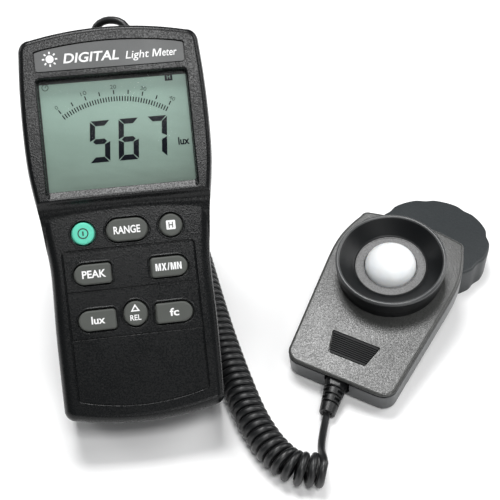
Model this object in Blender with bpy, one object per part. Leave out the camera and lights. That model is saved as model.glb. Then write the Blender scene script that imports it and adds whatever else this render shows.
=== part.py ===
"""Hand-held light meter: a battery meter propped on its rear stand, with a sensor head on a coiled lead.

The sensor head leans on its own dust cover. +X is to the user's right, +Y away from the user, +Z up.
All the constants below are millimetres and degrees; MM turns them into metres.
"""

import math

import bpy
import bmesh
from mathutils import Matrix, Vector

MM = 0.001
GAP = 0.3

# Base colours, as linear red, green and blue.
FRONT_BLACK = (0.035, 0.037, 0.038)
CASE_BLACK = (0.03, 0.032, 0.033)
PANE_CLEAR = (0.75, 0.80, 0.78)
LCD_GREEN = (0.42, 0.50, 0.44)
HOLDER_WHITE = (0.70, 0.70, 0.68)
LABEL_GREY = (0.18, 0.19, 0.19)
BOARD_GREEN = (0.03, 0.20, 0.09)
MAT_GREY = (0.30, 0.31, 0.30)
KEY_GREY = (0.09, 0.095, 0.085)
SLEEVE_BLACK = (0.05, 0.05, 0.06)
VINYL_BLACK = (0.02, 0.02, 0.02)
STEEL_GREY = (0.45, 0.45, 0.46)
BASE_GREY = (0.06, 0.062, 0.064)
COVER_GREY = (0.26, 0.265, 0.26)
GRIP_BLACK = (0.03, 0.03, 0.03)
COLLAR_BLACK = (0.02, 0.021, 0.022)
WASHER_GREY = (0.10, 0.10, 0.10)
OPAL_WHITE = (0.85, 0.86, 0.86)
FILTER_GREEN = (0.35, 0.55, 0.40)
SILICON_BLACK = (0.04, 0.04, 0.06)
CAP_BLACK = (0.045, 0.05, 0.052)
HELPER_GREY = (0.5, 0.5, 0.5)
POWER_GREEN = (0.10, 0.62, 0.42)

# Where the origin lies: the middle of the footprint of everything but the free lead.
ORIGIN_X = 10.23
ORIGIN_Y = -48.89

# Meter body: tilt of its rear face above the table, its turn about +Z, and its lower rear edge.
METER_TILT = 44.0
METER_TURN = 8.4
METER_X = -42.0
METER_Y = -93.0
BODY_DEPTH = 35.3
PARTING_Z = 21.0
KEYPAD_PLANE_Z = 31.8
WALL = 2.2
# Half widths of the body at heights along it, from the lower end up.
BODY_SIDES = [(6.2, 30.5), (20, 30.7), (36, 30.8), (52, 30.5), (60, 30.6), (68, 31.4), (78, 32.5),
              (87, 34.0), (98, 35.3), (112, 35.7), (128, 35.4), (141, 34.6)]
BODY_BOTTOM_Y = -1.3
BODY_BOTTOM_SAG = 2.9
BODY_TOP_Y = 149.9
BODY_TOP_SAG = 3.3
BOTTOM_CORNER_X = 26.0
TOP_CORNER_X = 30.0

# The rear shell's rounded lower edge, as (height, inset) from the rear face to the parting plane.
REAR_EDGE = [(0.0, 3.0), (0.6, 1.6), (1.8, 0.6), (3.6, 0.0), (PARTING_Z, 0.0)]
FRONT_EDGE = [(PARTING_Z + GAP, 0.0), (29.5, 0.3), (33.3, 0.9), (34.7, 1.9), (BODY_DEPTH, 3.3)]

WINDOW_X = 28.1
WINDOW_Y = (87.9, 130.7)
WINDOW_CORNER = 1.2
LABEL_X = 27.9
LABEL_Y = (133.4, 140.8)
LABEL_Z = (34.6, 35.0)
LABEL_RECESS_Z = 34.3
LABEL_ARCH = 2.6
# The step between keypad and display: its middle, and how far it falls towards the sides.
KEYPAD_STEP_Y = 80.0
KEYPAD_STEP_SAG = 2.0
KEYPAD_STEP_X = 40.0

# Flat inner parts, as (half width, lower end, upper end) and (low, high).
FRONT_CAVITY_Z = (10.0, 29.6)
DISPLAY_CAVITY = (29.6, 85.0, 137.0)
DISPLAY_CAVITY_Z = (15.0, 32.8)
PANE = (29.2, 85.4, 132.4)
PANE_Z = (30.9, 32.5)
LCD = (28.2, 86.6, 131.2)
LCD_Z = (28.2, 30.5)
HOLDER = (29.0, 85.6, 132.2)
HOLDER_Z = (24.9, 27.9)
HOLDER_HOLLOW = (26.5, 88.0, 129.8)
HOLDER_HOLLOW_Z = 27.0
MAIN_BOARD = (23.0, 13.0, 134.0)
MAIN_BOARD_Z = (23.0, 24.6)
KEYPAD_MAT = (26.5, 31.0, 80.5)
KEYPAD_MAT_Z = (25.2, 27.2)
BATTERY_BAY = (14.6, 25.6, 81.4)
BATTERY_BAY_Z = 2.5
BATTERY_Y = (27.6, 73.2)
# The battery's and its clip's levels: half width, height and corner radius of each ring.
BATTERY_RINGS = [(12.6, 2.9, 2.0), (13.1, 3.6, 2.5), (13.1, 19.3, 2.5), (12.6, 20.0, 2.0)]
BATTERY_STUD_R = 2.8
BATTERY_STUD_HEIGHT = 3.0
BATTERY_STUD_X = 6.4
BATTERY_MIDDLE_Z = 11.5
CLIP = (12.4, 75.9, 78.8)
CLIP_Z = (4.5, 18.5)

# Buttons: centre across and along the body, outline kind, width and height.
BUTTONS = {
    "power_button": (-16.6, 71.8, "round", 8.4, 8.4),
    "range_button": (-0.2, 71.8, "round", 15.4, 8.5),
    "hold_button": (16.4, 71.9, "round", 8.5, 8.5),
    "peak_button": (-14.6, 56.3, "left_d", 13.7, 7.6),
    "max_min_button": (14.2, 56.3, "right_d", 13.7, 7.6),
    "lux_button": (-14.5, 38.9, "left_d", 13.7, 7.6),
    "relative_button": (-0.1, 40.0, "round", 8.7, 9.3),
    "foot_candle_button": (14.4, 38.9, "right_d", 13.7, 7.6),
}
BUTTON_CLEARANCE = 0.5
BUTTON_FLANGE = 0.8
BUTTON_LEVELS = (28.5, 29.2, 32.4, 32.8)
BUTTON_COLOURS = {"power_button": POWER_GREEN}

# Tilt stand and battery door in the rear face.
STAND_HINGE_Y = 84.5
STAND_HINGE_Z = 2.4
STAND_HALF_WIDTH = 19.0
STAND_LEG = 3.2
STAND_FOOT_Y = 19.2
STAND_FOOT_BAR = 4.2
STAND_FACES = (0.3, 2.6)
STAND_CROSSBAR = 1.4
STAND_CORNER = 1.6
STAND_BAR_R = 1.5
STAND_PIN_R = 1.1
STAND_PIN_X = 21.2
STAND_PIN_BORE = (1.4, 21.6)
STAND_CLEARANCE = 0.4
STAND_RECESS_Z = {"legs": 3.0, "foot": 2.9, "bar": 4.3}
STAND_RECESS_TOP_Y = 88.0
STAND_FOOT_TOP_Y = 24.6
STAND_BAR_Y = (82.4, 88.4)
REAR_CAVITY_Z = 5.4
DOOR_X = 13.7
DOOR_Y = (26.8, 76.7)
DOOR_Z = (0.3, 2.1)
DOOR_CORNER = 0.8
DOOR_OPENING_Z = 3.0
# The door's thumb grooves: half width, first groove, pitch, width, depth and how many there are.
THUMB_GROOVES = (6.0, 62.0, 2.2, 1.0, 0.4, 5)
CASE_SCREW_HEAD = (2.4, 0.9, 2.6)
CASE_SCREW_SHANK = (1.1, 19.0)
CASE_SCREW_WELL = [(0, -1), (2.8, -1), (2.8, 3.0), (1.6, 3.0), (1.6, 8), (0, 8)]
CASE_POST = (2.9, 12.5, 30.5)
CASE_POST_BORE = (1.5, 11.0, 24.0)
GLAND_BORE = (3.3, 140, 156)
GLAND_PROFILE = [(0, 143.6), (4.3, 143.6), (4.3, 145.6), (2.9, 145.6), (2.9, 150.6), (2.3, 151.8), (0, 151.8)]
SCREW_SPOTS = [(-26.3, 141.0), (26.3, 141.0), (-24.6, 8.6), (24.6, 8.6)]

# Sensor head: lean above the table, turn from +Y towards +X, and its lower edge.
HEAD_LEAN = 12.2
HEAD_TURN = 28.2
HEAD_X = 36.1
HEAD_Y = -85.2
HEAD_SIDES = [(6.0, 23.9), (18, 25.0), (34, 26.5), (45, 27.5), (54, 28.3), (61, 28.6), (68, 28.0),
              (75, 26.2), (80, 24.3)]
HEAD_TOP_Y = 85.8
HEAD_TOP_SAG = 2.4
HEAD_CORNER_X = 17.5
HEAD_TOP_CORNER_X = 21.0
HEAD_BOTTOM_Y = 0.3
HEAD_BASE_EDGE = [(0.0, 1.6), (0.5, 0.6), (1.6, 0.1), (11.2, 0.0)]
HEAD_COVER_EDGE = [(11.6, 0.0), (12.3, 0.2), (12.8, 0.9)]
HEAD_WALL = 2.0
HEAD_FLOOR_Z = 1.9
COVER_PLUG = (2.5, 10.3)
# The collar's centre along the head, and its half section from the cover up to its lip and down its funnel.
RING_Y = 56.0
COLLAR_PROFILE = [(15.5, 13.1), (22.3, 13.1), (22.4, 17.3), (23.0, 17.6), (23.5, 23.1), (23.2, 23.9),
                  (22.6, 24.2), (21.8, 24.0), (20.9, 23.1), (16.2, 18.9), (15.5, 18.7)]
WASHER_R = 15.0
WASHER_FOOT_Z = 14.6
WASHER_CLEARANCE = 0.4
DOME_R = 10.9
DOME_TOP = 26.2
DOME_SEAT = 18.6
DOME_INNER_R = 9.3
DOME_WALL = 1.6
DOME_FLANGE_R = 13.2
DOME_FLANGE_Z = (13.2, 14.2)
LIGHT_HOLE_R = 9.0
FILTER = (6.5, 8.6, 9.9)
PHOTODIODE_X = 5.1
PHOTODIODE_Y = 4.5
PHOTODIODE_Z = (6.3, 8.2)
HEAD_BOARD = (19.5, 20.0, 71.0)
HEAD_BOARD_Z = (4.4, 6.0)
HEAD_SCREW_HEAD = (2.1, 0.5, 2.0)
HEAD_SCREW_SHANK = (1.0, 11.2)
HEAD_SCREW_WELL = [(0, -1), (2.5, -1), (2.5, 2.3), (1.3, 2.3), (1.3, 11), (0, 11)]
HEAD_POST = (3.2, 1.0, 9.6)
COVER_SCREW_BORE = (1.4, 5, 12.0)
# The ribbed grip's trapezoid, wider towards the dome, and its levels.
GRIP_CORNERS = [(-7.9, 10.2), (7.9, 10.2), (10.3, 19.9), (-10.3, 19.9)]
GRIP_Z = (12.0, 12.7)
GRIP_RECESS_Z = 11.7
HEAD_SCREW_SPOTS = [(-17.0, 10.0), (17.0, 10.0), (-17.5, 76.0), (17.5, 76.0)]

# Dust cover of the sensor, lying mouth down.
CAP_X = 85.3
CAP_Y = -5.0
CAP_R = 26.3
CAP_HEIGHT = 14.0
CAP_WALL = 2.4
CAP_ROOF = 2.2
# The rounded edge, as (inset, share of the flutes' depth, height).
CAP_EDGE = [(0.3, 1, 0.0), (0.0, 1, 0.5), (0.0, 1, 12.8), (0.4, 1, 13.6), (1.3, 0.6, CAP_HEIGHT)]
CAP_STEPS_PER_FLUTE = 10
CAP_FLUTES = 8
CAP_FLUTE_DEPTH = 0.9

# Lead: wire, coil and the routes' own points.
WIRE_R = 1.55
COIL_R = 6.7
LEAD_ROUTE = [(7.5, 152.5, 11.0), (7.4, 154.4, 11.0), (4.6, 157.5, 10.0), (-0.5, 158.9, 7.9),
              (-4.9, 157.4, 5.2), (-7.0, 153.0, 1.5)]
HANG_ROUTE = [(-66.4, 19.0, 97.0), (-66.0, 21.0, 82.0), (-64.5, 22.5, 64.0), (-62.0, 24.0, 45.0),
              (-58.5, 25.0, 28.0), (-54.5, 25.0, 14.5), (-50.0, 23.0, 5.5), (-45.5, 19.0, 2.6),
              (-41.5, 13.5, 4.0), (-39.0, 8.0, 7.0)]
COIL_ROUTE = [(-29.0, 2.0), (-24.8, -11.5), (-19.6, -33.0), (-15.3, -50.5), (-11.7, -64.0),
              (-6.6, -81.5), (-0.6, -99.6), (4.5, -110.9), (10.2, -119.7), (17.2, -125.7), (27.8, -127.2)]
TAIL_ROUTE = [(27.4, -119.6, 8.2), (28.0, -112.9, 6.1), (29.9, -103.0, 4.3), (30.7, -99.6, 3.9)]
RELIEF_ROUTE = [(35.6, -84.9, 6.3), (30.9, -98.9, 3.8)]
RELIEF_R = (4.8, 3.3)
RELIEF_SEGMENTS = 4
RELIEF_GROOVE = 0.8
RELIEF_GROOVE_DEPTH = 0.9
NOTCH_R = 5.5
NOTCH_Z = 6.4
NOTCH_Y = (-4.0, 5.5)
LEAD_STEP = 6.0
COIL_STEP = 7.0


def material(name, colour, roughness, metallic=0.0):
    """A plain Principled material."""
    made = bpy.data.materials.new(name)
    made.use_nodes = True
    shader = made.node_tree.nodes["Principled BSDF"]
    shader.inputs["Base Color"].default_value = (*colour, 1.0)
    shader.inputs["Roughness"].default_value = roughness
    shader.inputs["Metallic"].default_value = metallic
    return made


def finish(name, bm, colour, roughness=0.5, metallic=0.0, parent=None):
    """Turns a bmesh into a named, smooth-shaded object with its own material."""
    bmesh.ops.remove_doubles(bm, verts=bm.verts, dist=1e-6)
    bmesh.ops.recalc_face_normals(bm, faces=bm.faces)
    mesh = bpy.data.meshes.new(name)
    bm.to_mesh(mesh)
    bm.free()
    mesh.shade_smooth()
    mesh.set_sharp_from_angle(angle=math.radians(35))
    obj = bpy.data.objects.new(name, mesh)
    bpy.context.scene.collection.objects.link(obj)
    obj.data.materials.append(material(name + "_material", colour, roughness, metallic))
    obj.parent = parent
    return obj


def helper(name, bm, parent):
    """A cutter or an addition: seen as wire, and left out of the object."""
    obj = finish(name, bm, HELPER_GREY, parent=parent)
    obj.hide_render = True
    obj.display_type = "WIRE"
    return obj


def combine(obj, other, operation):
    """Adds a Boolean modifier with the exact solver."""
    modifier = obj.modifiers.new(other.name, "BOOLEAN")
    modifier.operation = operation
    modifier.solver = "EXACT"
    modifier.object = other


def loft(rings):
    """A closed bmesh through rings of equal length; each ring is (outline, height)."""
    bm = bmesh.new()
    loops = []
    for outline, height in rings:
        loops.append([bm.verts.new((x * MM, y * MM, height * MM)) for x, y in outline])
    count = len(loops[0])
    for low, high in zip(loops, loops[1:]):
        for i in range(count):
            j = (i + 1) % count
            bm.faces.new((low[i], low[j], high[j], high[i]))
    bm.faces.new(loops[0][::-1])
    bm.faces.new(loops[-1])
    return bm


def prism(outline, low, high):
    """A straight prism of an outline between two heights."""
    return loft([(outline, low), (outline, high)])


def merged(parts):
    """One bmesh that holds several separate ones."""
    whole = bmesh.new()
    for part in parts:
        mesh = bpy.data.meshes.new("scratch")
        part.to_mesh(mesh)
        part.free()
        whole.from_mesh(mesh)
        bpy.data.meshes.remove(mesh)
    return whole


def revolve(profile, steps=48):
    """A solid turned about Z from a closed profile of (radius, height); a radius of 0 lies on the axis."""
    bm = bmesh.new()
    columns = []
    for step in range(steps):
        angle = 2 * math.pi * step / steps
        column = []
        for radius, height in profile:
            at = (radius * math.cos(angle) * MM, radius * math.sin(angle) * MM, height * MM)
            column.append(bm.verts.new(at))
        columns.append(column)
    count = len(profile)
    for step in range(steps):
        here = columns[step]
        there = columns[(step + 1) % steps]
        for i in range(count):
            j = (i + 1) % count
            if profile[i][0] == 0 and profile[j][0] == 0:
                continue
            bm.faces.new((here[i], there[i], there[j], here[j]))
    bmesh.ops.remove_doubles(bm, verts=bm.verts, dist=1e-6)
    bmesh.ops.dissolve_degenerate(bm, edges=bm.edges, dist=1e-7)
    return bm


def moved(bm, shift):
    """The bmesh moved by millimetres."""
    bmesh.ops.translate(bm, verts=bm.verts, vec=Vector(shift) * MM)
    return bm


def turned(bm, axis, degrees):
    """The bmesh turned about an axis through its origin."""
    bmesh.ops.rotate(bm, verts=bm.verts, matrix=Matrix.Rotation(math.radians(degrees), 3, axis))
    return bm


def cylinder(radius, low, high, steps=24):
    """A plain cylinder about Z."""
    return revolve([(0, low), (radius, low), (radius, high), (0, high)], steps)


def rectangle(half_x, low_y, high_y, radius=0.0, corner_steps=4):
    """A rectangle's outline, with rounded corners where a radius is given."""
    corners = [(half_x, low_y, -90), (half_x, high_y, 0), (-half_x, high_y, 90), (-half_x, low_y, 180)]
    if radius == 0:
        return [(x, y) for x, y, _ in corners]
    outline = []
    for x, y, start in corners:
        centre_x = x - math.copysign(radius, x)
        centre_y = y + (radius if y == low_y else -radius)
        for step in range(corner_steps + 1):
            angle = math.radians(start + 90 * step / corner_steps)
            outline.append((centre_x + radius * math.cos(angle), centre_y + radius * math.sin(angle)))
    return outline


def inset(outline, distance):
    """The outline moved inwards, each corner along its own bisector. The outline runs anticlockwise."""
    result = []
    count = len(outline)
    for i in range(count):
        before = Vector(outline[i - 1])
        here = Vector(outline[i])
        after = Vector(outline[(i + 1) % count])
        first = (here - before).normalized()
        second = (after - here).normalized()
        normal = Vector((-first.y - second.y, first.x + second.x)).normalized()
        reach = distance / max(0.5, normal.dot(Vector((-first.y, first.x))))
        result.append((here.x + normal.x * reach, here.y + normal.y * reach))
    return result


def catmull_rom(points, steps):
    """Points on a smooth curve through the given ones, a number of steps for each span."""
    padded = [points[0] * 2 - points[1]] + points + [points[-1] * 2 - points[-2]]
    curve = []
    for i in range(1, len(padded) - 2):
        a, b, c, d = padded[i - 1:i + 3]
        for step in range(steps):
            t = step / steps
            blend = (b * 2 + (c - a) * t + (a * 2 - b * 5 + c * 4 - d) * t ** 2
                     + (b * 3 - a - c * 3 + d) * t ** 3)
            curve.append(blend * 0.5)
    curve.append(points[-1])
    return curve


def evenly(curve, spacing):
    """Points about this far apart along a finely stepped curve, its two ends among them."""
    lengths = [0.0]
    for a, b in zip(curve, curve[1:]):
        lengths.append(lengths[-1] + (b - a).length)
    count = max(2, round(lengths[-1] / spacing) + 1)
    result = []
    index = 0
    for i in range(count):
        target = lengths[-1] * i / (count - 1)
        while index < len(curve) - 2 and lengths[index + 1] < target:
            index += 1
        span = lengths[index + 1] - lengths[index]
        result.append(curve[index].lerp(curve[index + 1], (target - lengths[index]) / span))
    return result


def half_outline(sides, bottom, top):
    """The right half of a body's outline, from the bottom's middle to the top's.

    bottom and top are (y at the middle, rise at the corner, corner x): shallow arcs with round corners.
    """
    points = []
    bottom_y, bottom_rise, bottom_x = bottom
    for step in range(5):
        x = bottom_x * step / 4
        points.append((x, bottom_y + bottom_rise * (x / bottom_x) ** 2))
    low_y, low_x = sides[0]
    for step in range(1, 4):
        angle = math.radians(90 * step / 4)
        x = bottom_x + (low_x - bottom_x) * math.sin(angle)
        points.append((x, low_y - (low_y - points[4][1]) * math.cos(angle)))
    curve = catmull_rom([Vector((x, y)) for y, x in sides], 2)
    points += [(p.x, p.y) for p in curve]
    top_y, top_fall, top_x = top
    high_y, high_x = sides[-1]
    corner_y = top_y - top_fall
    for step in range(1, 5):
        angle = math.radians(90 * step / 4)
        x = top_x + (high_x - top_x) * math.cos(angle)
        points.append((x, high_y + (corner_y - high_y) * math.sin(angle)))
    for step in range(1, 5):
        x = top_x * (4 - step) / 4
        points.append((x, top_y - top_fall * (x / top_x) ** 2))
    return points


def mirrored(half):
    """A whole outline from its right half, whose first and last points lie on the middle line."""
    return half + [(-x, y) for x, y in half[-2:0:-1]]


def body_outline():
    return mirrored(half_outline(BODY_SIDES, (BODY_BOTTOM_Y, BODY_BOTTOM_SAG, BOTTOM_CORNER_X),
                                 (BODY_TOP_Y, BODY_TOP_SAG, TOP_CORNER_X)))


def head_outline():
    return mirrored(half_outline(HEAD_SIDES, (HEAD_BOTTOM_Y, 0.0, HEAD_CORNER_X),
                                 (HEAD_TOP_Y, HEAD_TOP_SAG, HEAD_TOP_CORNER_X)))


def shell_rings(outline, edge):
    return [(inset(outline, distance), height) for height, distance in edge]


def lowest(edge, bottom_y, tilt):
    """How high a rounded lower edge's lowest point is when its body is tilted about its lower end."""
    tilt = math.radians(tilt)
    return min((bottom_y + distance) * math.sin(tilt) + height * math.cos(tilt) for height, distance in edge)


def frame_empty(name, location, turn, tilt):
    """An empty whose X runs across a body, Y up along it and Z out of its face."""
    empty = bpy.data.objects.new(name, None)
    bpy.context.scene.collection.objects.link(empty)
    place = Matrix.Translation(Vector(location) * MM)
    empty.matrix_world = place @ Matrix.Rotation(turn, 4, "Z") @ Matrix.Rotation(tilt, 4, "X")
    return empty


def shifted(x, y, z=0.0):
    """A point of the layout, counted from the object's origin."""
    return Vector((x - ORIGIN_X, y - ORIGIN_Y, z))


def meter_frame():
    lift = -lowest(REAR_EDGE, BODY_BOTTOM_Y, METER_TILT)
    return frame_empty("meter_frame", shifted(METER_X, METER_Y, lift), math.radians(METER_TURN),
                       math.radians(METER_TILT))


def head_frame():
    lift = -lowest(HEAD_BASE_EDGE, HEAD_BOTTOM_Y, HEAD_LEAN)
    return frame_empty("head_frame", shifted(HEAD_X, HEAD_Y, lift), math.radians(-HEAD_TURN),
                       math.radians(HEAD_LEAN))


def button_outline(kind, width, height, grow=0.0):
    """A button's outline about its own centre: fully round ends, or a D with square corners on one side."""
    half_x = width / 2 + grow
    half_y = height / 2 + grow
    round_r = min(half_x, half_y) - 0.01
    square_r = 1.1 + grow
    left_r = square_r if kind == "right_d" else round_r
    right_r = square_r if kind == "left_d" else round_r
    outline = []
    for sign_x, sign_y, start in ((1, -1, -90), (1, 1, 0), (-1, 1, 90), (-1, -1, 180)):
        radius = right_r if sign_x > 0 else left_r
        for step in range(6):
            angle = math.radians(start + 90 * step / 5)
            outline.append((sign_x * (half_x - radius) + radius * math.cos(angle),
                            sign_y * (half_y - radius) + radius * math.sin(angle)))
    return outline


def placed(outline, x, y):
    return [(px + x, py + y) for px, py in outline]


def label_outline(grow):
    """The label's outline: straight sides and lower edge, and a shallow arch on top."""
    half_x = LABEL_X + grow
    low, high = LABEL_Y
    top = []
    for step in range(9):
        x = half_x * (1 - step / 4)
        top.append((x, high + grow + LABEL_ARCH * (1 - (x / half_x) ** 2)))
    return [(-half_x, low - grow), (half_x, low - grow)] + top


def front_case(frame):
    outline = body_outline()
    case = finish("front_case", loft(shell_rings(outline, FRONT_EDGE)), FRONT_BLACK, 0.6,
                  parent=frame)
    side = KEYPAD_STEP_X + 5
    foot = KEYPAD_STEP_Y - 2 * KEYPAD_STEP_SAG
    step_outline = [(-side, -10), (side, -10), (side, foot)]
    for step in range(9):
        share = 1 - step / 4
        step_outline.append((KEYPAD_STEP_X * share, KEYPAD_STEP_Y - KEYPAD_STEP_SAG * share ** 2))
    step_outline.append((-side, foot))
    cavity = inset(outline, WALL)
    holes = []
    for x, y, kind, width, height in BUTTONS.values():
        hole = placed(button_outline(kind, width, height, BUTTON_CLEARANCE), x, y)
        holes.append(prism(hole, BUTTON_LEVELS[0] - 0.5, BODY_DEPTH))
    posts = []
    bores = []
    for x, y in SCREW_SPOTS:
        posts.append(moved(cylinder(*CASE_POST, 16), (x, y, 0)))
        bores.append(moved(cylinder(*CASE_POST_BORE, 12), (x, y, 0)))
    cuts = [
        ("keypad_step", prism(step_outline, KEYPAD_PLANE_Z, 40)),
        ("front_cavity", prism(cavity, *FRONT_CAVITY_Z)),
        ("display_cavity", prism(rectangle(*DISPLAY_CAVITY), *DISPLAY_CAVITY_Z)),
        ("window_hole", prism(rectangle(WINDOW_X, *WINDOW_Y, WINDOW_CORNER), 31, 40)),
        ("label_recess", prism(label_outline(GAP), LABEL_RECESS_Z, 40)),
        ("button_holes", merged(holes)),
    ]
    for name, bm in cuts:
        combine(case, helper(name, bm, frame), "DIFFERENCE")
    combine(case, helper("front_posts", merged(posts), frame), "UNION")
    combine(case, helper("front_bores", merged(bores), frame), "DIFFERENCE")


def rear_case(frame):
    outline = body_outline()
    case = finish("rear_case", loft(shell_rings(outline, REAR_EDGE)), CASE_BLACK, 0.65,
                  parent=frame)
    recess_x = STAND_HALF_WIDTH + STAND_CLEARANCE
    leg_inner = STAND_HALF_WIDTH - STAND_LEG - STAND_CLEARANCE
    recess_low = STAND_FOOT_Y - STAND_CLEARANCE - 0.1
    leg_x = (recess_x + leg_inner) / 2
    legs = []
    for side in (-1, 1):
        leg = placed(rectangle((recess_x - leg_inner) / 2, recess_low, STAND_RECESS_TOP_Y), side * leg_x, 0)
        legs.append(prism(leg, -1, STAND_RECESS_Z["legs"]))
    counterbores = []
    for x, y in SCREW_SPOTS:
        counterbores.append(moved(revolve(CASE_SCREW_WELL, 16), (x, y, 0)))
    bore_r, bore_x = STAND_PIN_BORE
    pin_bore = turned(cylinder(bore_r, -bore_x, bore_x, 16), "Y", 90)
    gland_bore = turned(cylinder(*GLAND_BORE, 20), "X", -90)
    cuts = [
        ("rear_cavity", prism(inset(outline, WALL), REAR_CAVITY_Z, 30)),
        ("battery_bay", prism(rectangle(*BATTERY_BAY), BATTERY_BAY_Z, 30)),
        ("stand_legs", merged(legs)),
        ("stand_foot", prism(rectangle(recess_x, recess_low, STAND_FOOT_TOP_Y), -1, STAND_RECESS_Z["foot"])),
        ("stand_bar", prism(rectangle(recess_x - 0.1, *STAND_BAR_Y), -1, STAND_RECESS_Z["bar"])),
        ("stand_pins", moved(pin_bore, (0, STAND_HINGE_Y, STAND_HINGE_Z))),
        ("door_opening", prism(rectangle(DOOR_X + GAP, DOOR_Y[0] - GAP, DOOR_Y[1] + GAP), -1,
                               DOOR_OPENING_Z)),
        ("screw_holes", merged(counterbores)),
        ("gland_bore", moved(gland_bore, (LEAD_ROUTE[0][0], 0, LEAD_ROUTE[0][2]))),
    ]
    for name, bm in cuts:
        combine(case, helper(name, bm, frame), "DIFFERENCE")


def display(frame):
    pane = prism(rectangle(*PANE, 1.0), *PANE_Z)
    finish("display_window", pane, PANE_CLEAR, 0.08, parent=frame)
    glass = prism(rectangle(*LCD), *LCD_Z)
    finish("lcd_panel", glass, LCD_GREEN, 0.25, parent=frame)
    holder = finish("lcd_holder", prism(rectangle(*HOLDER), *HOLDER_Z), HOLDER_WHITE, 0.5, parent=frame)
    light_box = helper("lcd_holder_hollow", prism(rectangle(*HOLDER_HOLLOW), 24.0, HOLDER_HOLLOW_Z), frame)
    combine(holder, light_box, "DIFFERENCE")
    label = prism(label_outline(0.0), *LABEL_Z)
    finish("label_plate", label, LABEL_GREY, 0.45, parent=frame)


def electronics(frame):
    board = prism(rectangle(*MAIN_BOARD, 1.5), *MAIN_BOARD_Z)
    finish("main_board", board, BOARD_GREEN, 0.5, parent=frame)
    mat = prism(rectangle(*KEYPAD_MAT, 3.0), *KEYPAD_MAT_Z)
    finish("keypad_mat", mat, MAT_GREY, 0.7, parent=frame)


def buttons(frame):
    """Each button: a flange that the case holds in, and a cap that stands out of its hole."""
    flange_low, flange_high, shoulder, top = BUTTON_LEVELS
    for name, (x, y, kind, width, height) in BUTTONS.items():
        face = button_outline(kind, width, height)
        flange = button_outline(kind, width, height, BUTTON_FLANGE)
        rings = [(flange, flange_low), (flange, flange_high), (face, flange_high), (face, shoulder),
                 (inset(face, 0.5), top)]
        colour = BUTTON_COLOURS.get(name, KEY_GREY)
        button = finish(name, moved(loft(rings), (0, 0, -top)), colour, 0.55, parent=frame)
        button.location = Vector((x, y, top)) * MM


def battery(frame):
    rings = [(rectangle(half_x, *BATTERY_Y, corner), height) for half_x, height, corner in BATTERY_RINGS]
    cell = finish("battery", loft(rings), SLEEVE_BLACK, 0.35, parent=frame)
    studs = []
    for side in (-1, 1):
        stud = turned(cylinder(BATTERY_STUD_R, -0.8, BATTERY_STUD_HEIGHT - 0.8, 12), "X", -90)
        studs.append(moved(stud, (side * BATTERY_STUD_X, BATTERY_Y[1], BATTERY_MIDDLE_Z)))
    combine(cell, helper("battery_studs", merged(studs), frame), "UNION")
    finish("battery_clip", prism(rectangle(*CLIP, 0.8), *CLIP_Z), VINYL_BLACK, 0.6, parent=frame)


def battery_door(frame):
    """The door turns about the outer lower edge, where its tabs hook into the case."""
    low, high = DOOR_Y
    plate = prism(rectangle(DOOR_X, low, high, DOOR_CORNER), *DOOR_Z)
    door = finish("battery_door", moved(plate, (0, -low - GAP, -DOOR_Z[0])), CASE_BLACK, 0.65,
                  parent=frame)
    half_x, first, pitch, width, depth, count = THUMB_GROOVES
    grooves = []
    for row in range(count):
        start = first + pitch * row
        groove = prism(rectangle(half_x, start, start + width), DOOR_Z[0] - 1.0, DOOR_Z[0] + depth)
        grooves.append(moved(groove, (0, -low - GAP, -DOOR_Z[0])))
    cutter = helper("door_thumb_grooves", merged(grooves), frame)
    for obj in (door, cutter):
        obj.location = Vector((0, low + GAP, DOOR_Z[0])) * MM
    combine(door, cutter, "DIFFERENCE")


def stand_angle():
    """How far the stand swings out of the rear face for its foot to meet the table."""
    tilt = math.radians(METER_TILT)
    lift = -lowest(REAR_EDGE, BODY_BOTTOM_Y, METER_TILT)
    height = STAND_HINGE_Y * math.sin(tilt) + STAND_HINGE_Z * math.cos(tilt) + lift
    reach = STAND_HINGE_Y - STAND_FOOT_Y
    heel = STAND_FACES[1] - STAND_HINGE_Z
    past_vertical = math.acos(height / math.hypot(reach, heel))
    return math.radians(90 - METER_TILT) + past_vertical + math.atan2(heel, reach)


def tilt_stand(frame):
    """A frame of two legs and a foot bar, hung on a round bar whose ends are its pins."""
    low = STAND_FOOT_Y - STAND_HINGE_Y
    faces = [height - STAND_HINGE_Z for height in STAND_FACES]
    outer = rectangle(STAND_HALF_WIDTH, low, 0.0, STAND_CORNER)
    stand = finish("tilt_stand", prism(outer, *faces), CASE_BLACK, 0.6, parent=frame)
    inner_x = STAND_HALF_WIDTH - STAND_LEG
    window = helper("stand_window", prism(rectangle(inner_x, low + STAND_FOOT_BAR, -STAND_CROSSBAR, 1.0),
                                          -9, 9), frame)
    bar = helper("stand_hinge_bar",
                 turned(cylinder(STAND_BAR_R, -STAND_HALF_WIDTH, STAND_HALF_WIDTH, 16), "Y", 90), frame)
    pins = helper("stand_pin_ends", turned(cylinder(STAND_PIN_R, -STAND_PIN_X, STAND_PIN_X, 16), "Y", 90),
                  frame)
    combine(stand, window, "DIFFERENCE")
    combine(stand, bar, "UNION")
    combine(stand, pins, "UNION")
    for obj in (stand, window, bar, pins):
        obj.location = Vector((0, STAND_HINGE_Y, STAND_HINGE_Z)) * MM
        obj.rotation_euler.x = stand_angle()


def screw(name, x, y, head, shank, parent):
    """A pan-head screw from below: head is (radius, low, high), shank is (radius, high)."""
    head_r, low, high = head
    shank_r, top = shank
    profile = [(0, low + 0.7), (0.5, low + 0.7), (1.0, low), (head_r - 0.4, low), (head_r, low + 0.5),
               (head_r, high), (shank_r, high), (shank_r, top), (0, top + 0.4)]
    obj = finish(name, revolve(profile, 12), STEEL_GREY, 0.3, 1.0, parent)
    obj.location = Vector((x, y, 0)) * MM


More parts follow.
